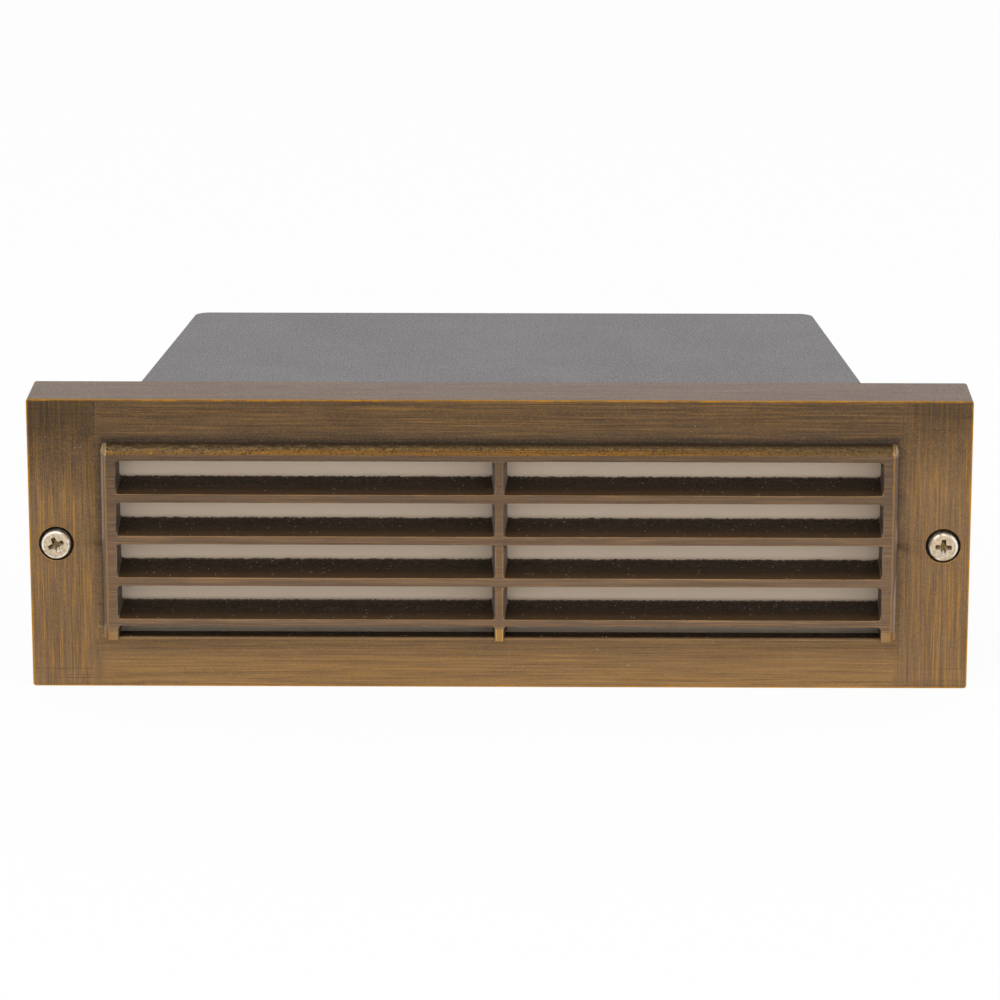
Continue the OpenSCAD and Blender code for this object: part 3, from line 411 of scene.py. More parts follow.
def rubbed_edges(f, m, colour):
    """Bare metal along the edges: bright round the plate, broken in the louvre, with painted shade
    on the blades' upward edges.
    """
    y, z = f.y, f.z
    rim = f.step(m.outline, PLATE_Z - 0.5, PLATE_Z - 0.3)
    rub = f.step(f.noise(0.8, 4.0, 0.65, f.stretch(0.3, 1, 0.4)), 0.42, 0.64)
    frame_sides = f.step(m.reach, FOOT_X - 1.9, FOOT_X - 1.4)
    rim_gold = f.mix(tone(194, 138, 6), tone(134, 92, 1), f.step(z, PLATE_Z - 1.7, PLATE_Z - 0.3))
    worn = f.mix(tone(150, 110, 50), rim_gold, rim)
    rubbed = (rim * 0.75 + frame_sides * 0.45 + rub * 0.4).least(1.0)
    colour = f.mix(colour, worn, m.wear * rubbed)
    # painted shade on the blades' upper front edges, where they face up
    painted_edge_shade = m.wear * (1.0 - rim) * f.step(m.nz, 0.1, 0.6)
    painted_edge_shade = painted_edge_shade * f.step(m.reach, OPEN_X + 1.0, OPEN_X) * f.step(z, 16.0, 15.0)
    colour = f.mix(colour, tone(98, 70, 34), painted_edge_shade * (0.9 - rub * 0.4))
    brink = f.step(m.outline, PLATE_Z - 0.6, PLATE_Z - 0.25)
    brink = brink * f.step(y, FACE_Y + 0.55, FACE_Y + 0.2) * (1.0 - m.wear)
    colour = f.mix(colour, tone(176, 116, 8), brink * (0.3 + rub * 0.55))

    # the middle rib: a golden tip at its foot, and golden lines down its sides between the blades
    on_rib = f.step(m.reach, 3.0, 2.0) * f.step(y, FACE_Y - 0.2, FACE_Y - 0.6)
    rib_side = f.step(m.reach + (m.skin - 0.5) * 0.3, 0.55, 0.9)
    rib_tip = f.mix(tone(154, 117, 68), tone(204, 156, 72), rib_side)
    colour = f.mix(colour, rib_tip, on_rib * f.step(z + (m.skin - 0.5), -20.9, -21.5) * 0.85)
    between = f.step(m.above_blade, 0.4, 1.0) * f.step(m.above_blade, 8.4, 7.8)
    between = between * f.step(z, RAIL_Z, RAIL_Z - 0.6)
    rib_line = on_rib * f.step(m.reach, 0.66, 0.86) * f.step(y, FRONT_Y + 0.5, FRONT_Y + 0.3)
    strength = (0.2 + f.step(z, 10.0, -12.0) * 0.5) * (0.4 + rub * 0.6)
    return f.mix(colour, tone(186, 136, 62), rib_line * between * strength)


def bronze_finish():
    f = Finish("antique_bronze", metallic=0.7)
    m = bronze_marks(f)
    m.pits = f.cells(1.7, f.stretch(0.8, 1, 1, (3, 2, 1))) + (m.patch - 0.5) * 0.5
    m.pits = f.step(m.pits, 0.3, 0.12)
    colour = f.mix(raised_frame(f, m), brushed_face(f, m), m.flat)
    specks = 0.2 + m.ends * m.flat * (0.1 - m.corner * 0.2)
    colour = f.mix(colour, tone(170, 126, 54), f.step(m.speck, 0.5, 0.7) * specks)
    colour = f.mix(colour, tone(66, 58, 60), f.step(m.speck, 0.5, 0.3) * specks)
    colour = f.mix(colour, cast_hood(f, m), m.hood)
    # painted glints on the hood's corners
    hood_corner_glints = f.step(m.reach, 97.5, 98.0) * f.step(f.z + (m.rough_skin - 0.5), 23.0, 23.9)
    hood_corner_glints = hood_corner_glints * (1.0 - m.flat) * (0.3 + f.step(m.rough_skin, 0.4, 0.6) * 0.5)
    colour = f.mix(colour, tone(236, 208, 160), hood_corner_glints)
    outside = f.step(m.outline, PLATE_Z - 0.2, PLATE_Z - 0.05)
    colour = f.mix(colour, outer_edges(f, m), outside)
    colour = f.mix(colour, louvre_inside(f, m), m.inside)
    rough_cast = f.mix(tone(60, 48, 36), tone(104, 82, 56), f.step(m.skin, 0.35, 0.65))
    colour = f.mix(colour, rough_cast, m.back * (1.0 - m.inside))
    colour = rubbed_edges(f, m, colour)
    scratch = f.noise(1.0, 2.0, 0.5, f.stretch(0.7, 0.7, 3.1, (9, 4, 2)), warp=1.2)
    colour = f.mix(colour, tone(206, 188, 150), f.step(scratch, 0.745, 0.77) * m.flat * 0.45)

    f.set(Base_Color=colour, Roughness=0.48 - m.streak * 0.08 - m.wear * 0.12 + m.inside * 0.1)
    relief = (m.brush * 0.6 + m.hair * 0.5) * (1.0 - m.inside) * (1.0 - m.hood)
    relief = relief + m.skin * (m.inside + m.back) * 1.4 - m.pits * m.hood * 1.2 + m.patch * m.hood
    return f.bump(relief, 0.1)


# ---------------------------------------------------------------- other finishes

def housing_finish():
    f = Finish("cast_aluminium_grey", metallic=0.3)
    cloud = f.noise(0.045, 4.0, 0.6)
    grain = f.noise(2.2, 4.0, 0.7)
    drag = f.noise(1.0, 3.0, 0.6, f.stretch(1.6, 0.03, 1.6))
    speck = f.noise(3.4, 2.0, 0.7, f.stretch(1, 0.4, 1))
    scratch = f.noise(1.0, 2.0, 0.5, f.stretch(0.5, 0.16, 0.5, (4, 8, 1)), warp=1.6)
    base = f.step(cloud * 0.7 + drag * 0.3, 0.36, 0.64)
    base = f.mix(tone(113, 109, 111), tone(124, 119, 120), base)
    base = f.mix(base, tone(84, 82, 86), f.step(grain, 0.44, 0.62) * 0.5)
    base = f.mix(base, tone(150, 145, 145), f.step(speck, 0.5, 0.66) * 0.7)
    base = f.mix(base, tone(62, 60, 64), f.step(speck, 0.5, 0.34) * 0.7)
    base = f.mix(base, tone(150, 146, 144), f.step(scratch, 0.72, 0.745) * 0.4)
    f.set(Base_Color=base, Roughness=0.5 + grain * 0.16)
    return f.bump(grain * 0.7 + cloud, 0.05)


def frosted_finish():
    f = Finish("frosted_glass", specular=0.4, transmission=0.12)
    cloud = f.noise(0.06, 3.0)
    grain = f.noise(6.0, 3.0, 0.6)
    f.set(Base_Color=f.mix(tone(238, 213, 186), tone(244, 225, 202), cloud),
          Roughness=0.5 + grain * 0.15)
    return f.bump(grain, 0.02)


def plated_finish(name, light, dark, roughness=0.26):
    f = Finish(name, metallic=1.0)
    cloud = f.noise(1.2, 4.0, 0.6)
    fine = f.noise(9.0, 3.0, 0.6, f.stretch(0.5, 1, 0.5))
    f.set(Base_Color=f.mix(light, dark, f.step(cloud, 0.45, 0.7)),
          Roughness=roughness + fine * 0.12)
    return f.bump(fine, 0.012)


def screw_finish():
    f = Finish("nickelled_screw", metallic=0.85)
    off_axis = abs(f.x) - SCREW_X
    from_axis = (off_axis * off_axis + f.z * f.z).root()
    on_head = f.step(f.y, SCREW_BACK_Y + 0.1, SCREW_BACK_Y - 0.1)
    rim = f.step(from_axis, 2.95, 3.2) * on_head
    recess = f.step(from_axis, 2.3, 2.2) * on_head
    recess = recess * f.step(f.y, SCREW_FACE_Y + 0.03, SCREW_FACE_Y + 0.2)
    cloud = f.noise(1.4, 4.0, 0.6)
    fine = f.noise(5.0, 3.0, 0.6)
    up = f.facing()[2]
    metal = f.mix(tone(178, 158, 132), tone(204, 186, 160), f.step(cloud, 0.4, 0.65))
    # the polished rim, with a painted highlight
    metal = f.mix(metal, tone(244, 240, 230), rim * f.step(f.noise(0.55, 2.0), 0.4, 0.55) * 0.9)
    # the cross recess: painted shade, with painted highlights on its faces that face up
    cut = f.mix(tone(44, 33, 18), tone(150, 118, 62), f.step(fine, 0.42, 0.62))
    cut = f.mix(cut, tone(250, 244, 230), f.step(up, 0.35, 0.55))
    metal = f.mix(metal, cut, recess * 0.95)
    f.set(Base_Color=metal, Roughness=0.36 - rim * 0.22 + recess * 0.1 + (fine - 0.5) * 0.1)
    return f.bump(fine, 0.02)


def moulded_finish(name, light, dark, roughness=0.5, bumps=0.02, specular=0.5):
    f = Finish(name, specular=specular)
    cloud = f.noise(0.24, 3.0)
    grain = f.noise(3.0, 4.0, 0.6)
    f.set(Base_Color=f.mix(light, dark, f.step(cloud * 0.5 + grain * 0.5, 0.38, 0.62)),
          Roughness=roughness + (grain - 0.5) * 0.2)
    return f.bump(grain, bumps)


def see_through_finish(name, tint, roughness, transmission):
    f = Finish(name, transmission=transmission)
    cloud = f.noise(0.2, 3.0)
    f.set(Base_Color=f.mix(tint, tone(250, 250, 248), cloud * 0.5),
          Roughness=roughness + cloud * 0.05)
    return f.bump(f.noise(2.0, 3.0), 0.01)


def dress(node, finish):
    """Gives its finish to a CAD node that stays."""
    slots = NODES[node].data.materials
    for i in range(len(slots)):
        slots[i] = finish.data


# ---------------------------------------------------------------- shaping

def copy_of(node, flat_deg=0.35):
    """A bmesh of a CAD node's own shape, merged, with its flat faces whole."""
    bm = bmesh.new()
    bm.from_mesh(NODES[node].data)
    bmesh.ops.remove_doubles(bm, verts=bm.verts, dist=2e-6)
    bmesh.ops.dissolve_limit(bm, angle_limit=math.radians(flat_deg), verts=bm.verts, edges=bm.edges)
    return bm


def finish_piece(name, node, bm, finish, body, smooth_deg):
    """Makes the piece that stands for a CAD node."""
    mesh = bpy.data.meshes.new(name)
    bm.to_mesh(mesh)
    bm.free()
    mesh.materials.append(finish.data)
    mesh.shade_smooth()
    mesh.set_sharp_from_angle(angle=math.radians(smooth_deg))
    piece = bpy.data.objects.new(name, mesh)
    bpy.context.scene.collection.objects.link(piece)
    even = piece.modifiers.new("even_normals", "WEIGHTED_NORMAL")  # keeps flat faces flat in shade
    even.keep_sharp = True
    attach(piece, body)
    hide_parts(node)


def ends_of(edge):
    """The two ends of an edge, in millimetres."""
    return [v.co / MM for v in edge.verts]


def middle_of(face):
    return face.calc_center_median() / MM


def signed_turn(edge):
    """The angle over an edge in degrees, above 0 where it stands out."""
    return math.degrees(edge.calc_face_angle_signed(0.0)) if len(edge.link_faces) == 2 else 0.0


def cut(bm, faces, place, way):
    """Cuts these faces with a plane through a place in millimetres, and returns the faces."""
    geom = dict.fromkeys(v for g in faces for v in g.verts)
    geom.update(dict.fromkeys(e for g in faces for e in g.edges))
    made = bmesh.ops.bisect_plane(bm, geom=list(geom) + faces, dist=1e-7,
                                  plane_co=Vector(place) * MM, plane_no=way)
    return [g for g in made["geom"] if isinstance(g, bmesh.types.BMFace)]


def divide(bm, edges, cuts):
    """Divides these edges and the faces between them, and returns the new vertices."""
    made = bmesh.ops.subdivide_edges(bm, edges=edges, cuts=cuts, use_grid_fill=True)
    return {g for g in made["geom_inner"] if isinstance(g, bmesh.types.BMVert)}


def round_edges(bm, edges, size, segments):
    """Rounds these edges by a size in millimetres, and returns the new faces."""
    made = bmesh.ops.bevel(bm, geom=edges, offset=size * MM, offset_type="OFFSET",
                           segments=segments, profile=0.5, affect="EDGES",
                           clamp_overlap=False, material=-1)
    return made["faces"]


def turned(outline, sides=64, closed=False):
    """A shape turned about +Z from its half outline of radii and heights in millimetres."""
    bm = bmesh.new()
    verts = [bm.verts.new((r * MM, 0, z * MM)) for r, z in outline]
    pairs = list(zip(verts, verts[1:])) + [(verts[-1], verts[0])] * closed
    edges = [bm.edges.new(pair) for pair in pairs]
    bmesh.ops.spin(bm, geom=verts + edges, cent=(0, 0, 0), axis=(0, 0, 1), angle=math.tau,
                   steps=sides, use_merge=True)
    bmesh.ops.remove_doubles(bm, verts=bm.verts, dist=1e-7)
    bmesh.ops.recalc_face_normals(bm, faces=bm.faces)
    return bm


def column(radius, start, end, step):
    """Points of a half outline up a straight side."""
    count = int((end - start) / step)
    return [(radius, start + (end - start) * i / count) for i in range(count + 1)]


def widen(v, factor):
    """Moves a vertex of a turned shape out from its axis, or in."""
    v.co.x, v.co.y = v.co.x * factor, v.co.y * factor


def spin_by(bm, degrees, axis="Z"):
    bmesh.ops.rotate(bm, verts=bm.verts, matrix=Matrix.Rotation(math.radians(degrees), 3, axis))


def lay(bm, way, place):
    """Turns +Z to the X or Y axis, and moves the origin to a place in millimetres."""
    spin_by(bm, *{"X": (90, "Y"), "Y": (-90, "X")}[way])
    bmesh.ops.translate(bm, verts=bm.verts, vec=Vector(place) * MM)
    return bm


# ---------------------------------------------------------------- face plate

def thin_low_blade(bm):
    """The lowest blade was cast thinner than the others."""
    under_z = BLADE_TOP_Z - 3 * BLADE_PITCH - BLADE_T
    for v in bm.verts:
        p = v.co / MM
        off_underside = abs(p.z - under_z - (p.y - FRONT_Y) * BLADE_RISE)
        if abs(p.x) < OPEN_X + 0.6 and off_underside < 0.03 and p.y < BLADE_BACK_Y + 0.1:
            v.co.z += 0.4 * MM


def quarter_flats(bm):
    """Cuts the flat faces in front and behind at the openings, so that none runs round a hole."""
    def is_front(face):
        return face.normal.y < -0.99 and middle_of(face).y < FACE_Y + 0.1

    def is_back(face):
        return face.normal.y > 0.99 and BLADE_BACK_Y - 0.6 < middle_of(face).y < BLADE_BACK_Y + 0.5

    blade_mid = [BLADE_TOP_Z - BLADE_T / 2 - i * BLADE_PITCH for i in range(4)]
    slot_mid = [(RAIL_Z + BLADE_TOP_Z) / 2 - i * BLADE_PITCH for i in range(4)]
    across = (-SCREW_X, -STILE_X, -BAY_X, 0, BAY_X, STILE_X, SCREW_X)
    planes = [((x, 0, 0), (1, 0, 0)) for x in across]
    planes += [((0, 0, z), (0, 0, 1)) for z in blade_mid + slot_mid + [RAIL_Z + 0.9, 0.0]]
    for place, way in planes:
        cut(bm, [g for g in bm.faces if is_front(g) or is_back(g)], place, way)

    slanted = []
    for edge in bm.edges:
        a, b = ends_of(edge)
        if abs(a.y - b.y) < 0.001 and abs(a.x - b.x) > 0.01 and abs(a.z - b.z) > 0.01 \
                and len(edge.link_faces) == 2 \
                and all(abs(g.normal.y) > 0.999 for g in edge.link_faces):
            slanted.append(edge)
    bmesh.ops.dissolve_edges(bm, edges=slanted, use_verts=False)


def round_slot_corners(bm):
    """The cast corners of the slots: round above a slot, small and blunt below it."""
    upper, lower = [], []
    for edge in bm.edges:
        a, b = ends_of(edge)
        if abs(a.y - b.y) < 8 or signed_turn(edge) > -60 or max(abs(a.x), abs(b.x)) > OPEN_X + 0.5:
            continue
        tip = a if a.y < b.y else b
        on_blade = abs((BLADE_TOP_Z - tip.z + 1) % BLADE_PITCH - 1) < 0.05
        (lower if on_blade else upper).append(edge)
    round_edges(bm, upper, 1.1, 4)
    round_edges(bm, lower, 0.7, 2)


def round_frame_corners(bm):
    """The raised frame's top corners curve in, as cast."""
    start_z = HOOD_FRONT_Z - 0.1
    flanks = [g for g in bm.faces if abs(g.normal.x) > 0.5
              and FOOT_X - 1.5 < abs(middle_of(g).x) < FOOT_X + 0.2 and middle_of(g).y < FACE_Y]
    for height in (25.5, 24.5, 23.2, 0.0):
        flanks = cut(bm, flanks, (0, 0, height), (0, 0, 1))
    for v in bm.verts:
        p = v.co / MM
        if FOOT_X - 1.9 < abs(p.x) < FOOT_X + 0.5 and start_z < p.z < HOOD_TOP_Z + 0.1 \
                and p.y < FACE_Y + 0.05:
            rise = (p.z - start_z) / (HOOD_TOP_Z - start_z)
            v.co.x -= math.copysign(0.75 * rise * rise, p.x) * MM
            v.co.z -= 0.15 * rise * MM


def wear_edges(bm, mark):
    """Small rounded edges, marked where the patina is rubbed off. The frame's sides are rounder."""
    def is_front(edge):
        a, b = ends_of(edge)
        return max(a.y, b.y) < FACE_Y + 0.05 and signed_turn(edge) > 24

    def is_side(edge):
        a, b = ends_of(edge)
        nearest, furthest = sorted((abs(a.x), abs(b.x)))
        return STILE_X + 0.2 < nearest and furthest < FOOT_X + 0.05

    for size, segments, wanted in ((0.45, 3, True), (0.2, 2, False)):
        edges = [e for e in bm.edges if is_front(e) and is_side(e) == wanted
                 and not any(g[mark] for g in e.link_faces)]
        for face in round_edges(bm, edges, size, segments):
            face[mark] = 1.0


def roughen_hood(bm):
    """The rounded hood over the louvre is left as cast, with small pits and waves."""
    def on_hood(v):
        p = v.co / MM
        at_height = HOOD_FRONT_Z - 0.01 < p.z < HOOD_TOP_Z + 0.01
        return at_height and FRONT_Y - 0.01 < p.y < FACE_Y + 0.01

    lines = []
    for edge in bm.edges:
        a, b = ends_of(edge)
        if all(on_hood(v) for v in edge.verts) and abs(a.x - b.x) > 150 \
                and max(abs(a.x), abs(b.x)) < FOOT_X + 0.4:
            lines.append(edge)
    made = divide(bm, lines, 300)
    bm.normal_update()
    moves = []
    for v in made:
        p = v.co / MM
        if HOOD_FRONT_Z + 0.05 < p.z < HOOD_TOP_Z - 0.02 and p.y > FRONT_Y + 0.001:
            fade = min(1.0, (HOOD_TOP_Z - p.z) / 0.5, (p.z - HOOD_FRONT_Z) / 0.5)
            wave = noise.fractal(Vector((p.x * 0.7, p.y, p.z)) * 1.1, 0.9, 2.1, 4)
            pit_place = Vector((p.x * 1.5, p.y * 2.2, p.z * 2.2)) + Vector((5, 5, 5))
            pit = max(0.0, noise.noise(pit_place) - 0.28)
            rough = 1.0 - 0.6 * max(0.0, min(1.0, (p.x + 40.0) / 60.0))    # smoother to the right
            depth = max(0.0, 0.12 + (wave * 0.3 + pit * 0.6) * rough)
            moves.append((v, v.normal * -depth * fade * MM))
    for v, move in moves:
        v.co += move


def roughen_blade_backs(bm):
    """The blades' back edges were cast and never brushed, so they run unevenly."""
    strip_y = BLADE_BACK_Y - 1.1

    def blade_tops(from_y, least_area):
        return [g for g in bm.faces if g.normal.z > 0.9 and abs(middle_of(g).x) < OPEN_X + 0.5
                and from_y < middle_of(g).y < BLADE_BACK_Y + 0.1
                and g.calc_area() > least_area * MM * MM]

    cut(bm, blade_tops(FRONT_Y - 0.1, 100.0), (0, strip_y, 0), (0, 1, 0))
    for side in (-BAY_X, BAY_X):
        cut(bm, blade_tops(strip_y - 0.1, 30.0), (side, 0, 0), (1, 0, 0))
    lines = []
    for edge in bm.edges:
        a, b = ends_of(edge)
        along = abs(a.x - b.x) > 40 and max(abs(a.x), abs(b.x)) < OPEN_X + 0.5
        at_back = min(a.y, b.y) > strip_y - 0.1 and max(a.y, b.y) < BLADE_BACK_Y + 0.1
        if along and at_back and 1.4 < (a.z - BLADE_TOP_Z) % BLADE_PITCH < 1.8:
            lines.append(edge)
    for v in divide(bm, lines, 120):
        p = v.co / MM
        if p.y > BLADE_BACK_Y - 0.05:
            wave = noise.fractal(Vector((p.x * 1.6, p.z, 2.0)), 0.6, 2.0, 4)
            v.co.z += max(-0.2, min(0.1, wave * 0.24 - 0.05)) * MM


def plate_piece(finish):
    bm = copy_of("face_plate")
    mark = bm.faces.layers.float.new("wear")
    thin_low_blade(bm)
    quarter_flats(bm)
    round_slot_corners(bm)
    round_frame_corners(bm)
    wear_edges(bm, mark)
    roughen_hood(bm)
    roughen_blade_backs(bm)
    finish_piece("plate_casting", "face_plate", bm, finish, "plate", 30)


# ---------------------------------------------------------------- screws

def cross_recess(bm, arm, half, depth):
    """A tapering cross cut, in millimetres. Returns the edges of its mouth."""
    side = [(arm, -0.85 * half), (1.03 * arm, 0), (arm, 0.85 * half),
            (1.3 * half, half), (half, 1.3 * half)]
    corners = [Vector((a, b, 0)) * MM for a, b in side]
    ring = [Matrix.Rotation(math.radians(90 * i), 3, "Z") @ c for i in range(4) for c in corners]
    mouth = bm.faces.new([bm.verts.new(c) for c in ring])
    edges = list(mouth.edges)
    made = bmesh.ops.extrude_face_region(bm, geom=[mouth])["geom"]
    low = [v for v in made if isinstance(v, bmesh.types.BMVert)]
    if mouth.is_valid:
        bmesh.ops.delete(bm, geom=[mouth], context="FACES_ONLY")
    bmesh.ops.scale(bm, verts=low, vec=(0.5, 0.5, 1.0))
    bmesh.ops.translate(bm, verts=low, vec=(0, 0, depth * MM))
    return edges


def screw_shape(head_d, head_h, shank_d, length, pitch, sides=48):
    """A pan head screw with a cross recess, its head's face at the origin, its shank along +Z."""
    r, s, h, tip = head_d / 2, shank_d / 2, head_h, head_h + length
    outline = [(0.8 * r, 0), (0.9 * r, 0.015 * h), (0.96 * r, 0.09 * h), (0.99 * r, 0.2 * h),
               (r, 0.32 * h), (r, 0.9 * h), (0.985 * r, 0.96 * h), (0.95 * r, h),
               (s * 1.12, h), (s, h + 0.15)]
    count = int(length / pitch * 6)
    outline += [(s, h + 0.2 + (tip - h - 0.6) * i / count) for i in range(1, count + 1)]
    outline += [(s * 0.62, tip - 0.1), (s * 0.5, tip)]
    bm = turned(outline, sides)
    for v in bm.verts:
        along = v.co.z / MM
        if h + 0.3 < along < tip - 0.15:
            turn = (along / pitch - math.atan2(v.co.y, v.co.x) / math.tau) % 1.0
            widen(v, 1.0 - 0.17 * abs(2 * turn - 1) * min(1.0, (along - h) * 0.8))
    rim = [e for e in bm.edges if e.is_boundary and e.verts[0].co.z < 1e-6]
    cross = cross_recess(bm, 0.275 * head_d, 0.085 * head_d, 0.5 * h)
    bmesh.ops.triangle_fill(bm, edges=rim + cross, use_beauty=True, normal=(0, 0, -1))
    end = [e for e in bm.edges if e.is_boundary]
    bmesh.ops.contextual_create(bm, geom=end)
    bmesh.ops.recalc_face_normals(bm, faces=bm.faces)
    return bm


def cover_screw_piece(node, body, side, turn, finish):
    bm = screw_shape(head_d=7.4, head_h=2.6, shank_d=4.0, length=17.1, pitch=0.7)
    spin_by(bm, turn)
    lay(bm, "Y", (side * SCREW_X, SCREW_FACE_Y, 0))
    finish_piece(node + "_threaded", node, bm, finish, body, 28)


def small_screws(node, way, head_d, head_h, shank_d, finish):
    """Pan head screws where the node's own are, one or a pair."""
    low, high = (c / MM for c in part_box(node))
    length = (high.x - low.x if way == "X" else high.y - low.y) - head_h
    middle = (low + high) / 2
    whole = bmesh.new()
    heights = sorted({round(low.z + head_d / 2, 2), round(high.z - head_d / 2, 2)})
    for i, z in enumerate(heights):
        bm = screw_shape(head_d, head_h, shank_d, length, 0.6, sides=32)
        spin_by(bm, 17 + 50 * i)
        lay(bm, way, (low.x, middle.y, z) if way == "X" else (middle.x, low.y, z))
        mesh = bpy.data.meshes.new("screw")
        bm.to_mesh(mesh)
        bm.free()
        whole.from_mesh(mesh)
        bpy.data.meshes.remove(mesh)
    finish_piece(node + "_threaded", node, whole, finish, "housing", 28)


# ---------------------------------------------------------------- housing and inner pieces

def soft_edged(node, finish, body, slot, smooth_deg=32, edge=0.0):
    """A node's own shape with smooth round faces and, where edge is given, rounded edges."""
    bm = copy_of(node, flat_deg=0.1)
    if edge:
        edges = [e for e in bm.edges if signed_turn(e) > 40 and e.calc_length() > 2 * edge * MM]
        round_edges(bm, edges, edge, 2)
    finish_piece(node + "_finished", node, bm, finish, body, smooth_deg)


def housing_piece(finish):
    bm = copy_of("housing")
    long_edges = [e for e in bm.edges if signed_turn(e) > 30 and e.calc_length() > 6.0 * MM]
    round_edges(bm, long_edges, 0.6, 3)
    finish_piece("housing_casting", "housing", bm, finish, "housing", 35)


def rolled_thread(bm, start, end, least_r, open_ends):
    """Pushes a turned shell out into a rolled lamp thread that runs out, or opens, at its ends."""
    for v in bm.verts:
        radius, along = math.hypot(v.co.x, v.co.y) / MM, v.co.z / MM
        if radius > least_r:
            fade = max(0.0, min(1.0, (along - start) / 1.6, (end - along) / 1.6))
            turn = (along - LAMP_CREST) / LAMP_PITCH - math.atan2(v.co.y, v.co.x) / math.tau
            wave = 0.5 + 0.5 * math.cos(math.tau * turn)
            push = LAMP_THREAD * (1.0 - (1.0 - wave) * fade if open_ends else wave * fade)
            widen(v, 1.0 + push / radius)


def lamp_base_piece(finish):
    """The lamp's rolled screw base, along its own axis from its contact tip."""
    outline = [(9.0, 4.0), (11.6, 4.0), (12.1, 4.2)] + column(12.3, 4.7, 25.2, LAMP_PITCH / 8)
    outline += [(12.6, 25.6), (12.65, 26.2), (12.4, 26.8), (12.1, 27.0), (11.85, 27.0)]
    outline += [(11.85, 4.8), (9.0, 4.8)]
    bm = turned(outline, closed=True)
    rolled_thread(bm, 5.0, 25.0, 12.2, False)
    lay(bm, "X", LAMP_TIP)
    finish_piece("lamp_base_threaded", "lamp_base", bm, finish, "lamp", 40)


def sleeve_piece(finish):
    """The lampholder's threaded sleeve, on the lamp's axis."""
    inner = column(12.55, -2.2, 22.4, LAMP_PITCH / 8)
    outer = column(12.9, -2.2, 22.4, LAMP_PITCH / 8)
    bm = turned(inner + [(12.85, 22.7), (13.0, 22.7)] + outer[::-1], closed=True)
    rolled_thread(bm, -1.0, 21.0, 12.0, True)
    lay(bm, "X", LAMP_TIP)
    finish_piece("sleeve_threaded", "lampholder_sleeve", bm, finish, "housing", 40)


def connector_piece(node, finish):
    """A twist-on connector with a plain skirt and a fluted cone."""
    low, high = (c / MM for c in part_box(node))
    middle = (low + high) / 2
    bore = [(0, 14.0), (1.35, 14.0), (1.35, 6.0), (3.8, 6.0), (3.8, 0)]
    skirt = [(5.3, 0), (5.5, 0.25), (5.5, 5.7), (5.3, 6.0), (5.05, 6.2)]
    cone = [(5.0 - 1.4 * i / 8, 6.6 + 12.4 * i / 8) for i in range(9)]
    bm = turned(bore + skirt + cone + [(3.4, 19.6), (2.9, 20.0), (0, 20.0)])
    for v in bm.verts:
        radius, along = math.hypot(v.co.x, v.co.y) / MM, v.co.z / MM
        if radius > 2.9 and along > 6.4:
            groove = 0.5 + 0.5 * math.cos(8 * math.atan2(v.co.y, v.co.x))
            widen(v, 1.0 - 0.09 * groove * min(1.0, (along - 6.4) / 1.5))
    lay(bm, "X", (low.x, middle.y, middle.z))
    finish_piece(node + "_fluted", node, bm, finish, "housing", 35)


def metal_pieces():
    zinc = plated_finish("zinc_plate", tone(205, 205, 202), tone(176, 178, 182))
    nickel = plated_finish("nickelled_brass", tone(214, 208, 192), tone(190, 182, 162))
    brass = plated_finish("brass", tone(214, 178, 104), tone(182, 142, 74))
    green = moulded_finish("green_painted_steel", tone(48, 140, 82), tone(34, 116, 64), 0.35)
    dress("lamp_contact", nickel)
    soft_edged("thread_inserts", brass, "housing", "plain_brass")
    soft_edged("lampholder_contact", brass, "housing", "plain_brass", edge=0.2)
    soft_edged("ground_terminal", nickel, "housing", "nickel_brass")
    soft_edged("lampholder_bracket", zinc, "housing", "zinc_steel", edge=0.3)
    lamp_base_piece(nickel)
    sleeve_piece(nickel)
    small_screws("reflector_screws", "Y", 6.4, 2.2, 3.4, zinc)
    small_screws("bracket_screws", "Y", 6.4, 2.2, 3.4, zinc)
    small_screws("lampholder_screws", "X", 5.6, 2.0, 3.0, zinc)
    small_screws("ground_screw", "Y", 7.0, 2.4, 3.4, green)


def seals_and_moulded_pieces():
    rubber = moulded_finish("black_silicone", tone(18, 17, 17), tone(30, 29, 29), 0.7,
                            specular=0.12)
    soft_edged("sealing_washer_left", rubber, "washer_left", "black_rubber")
    soft_edged("sealing_washer_right", rubber, "washer_right", "black_rubber")
    soft_edged("lens_gasket", rubber, "lens", "black_rubber")
    dress("lens", frosted_finish())
    enamel = moulded_finish("white_enamel", tone(240, 240, 236), tone(230, 230, 226), 0.3)
    soft_edged("reflector", enamel, "housing", "white_enamel")
    porcelain = moulded_finish("glazed_porcelain", tone(242, 239, 230), tone(230, 226, 214), 0.18)
    soft_edged("lampholder_body", porcelain, "housing", "porcelain", edge=0.4)
    nylon = moulded_finish("black_nylon", tone(30, 30, 31), tone(44, 44, 45), 0.45)
    soft_edged("lead_bushing", nylon, "housing", "bushing_nylon", edge=0.25)


def lamp_pieces():
    opal = see_through_finish("soft_white_bulb", tone(244, 243, 238), 0.5, 0.6)
    soft_edged("lamp_glass", opal, "lamp", "lamp_glass", smooth_deg=50)
    clear = see_through_finish("clear_stem_glass", tone(228, 238, 236), 0.05, 0.95)
    soft_edged("lamp_stem", clear, "lamp", "clear_glass")
    tungsten = plated_finish("tungsten_wire", tone(130, 130, 134), tone(96, 96, 100), 0.4)
    soft_edged("lamp_filament", tungsten, "lamp", "tungsten", smooth_deg=50)
    black_glass = moulded_finish("black_base_glass", tone(22, 22, 26), tone(34, 34, 38), 0.12)
    soft_edged("lamp_insulator", black_glass, "lamp", "black_glass")


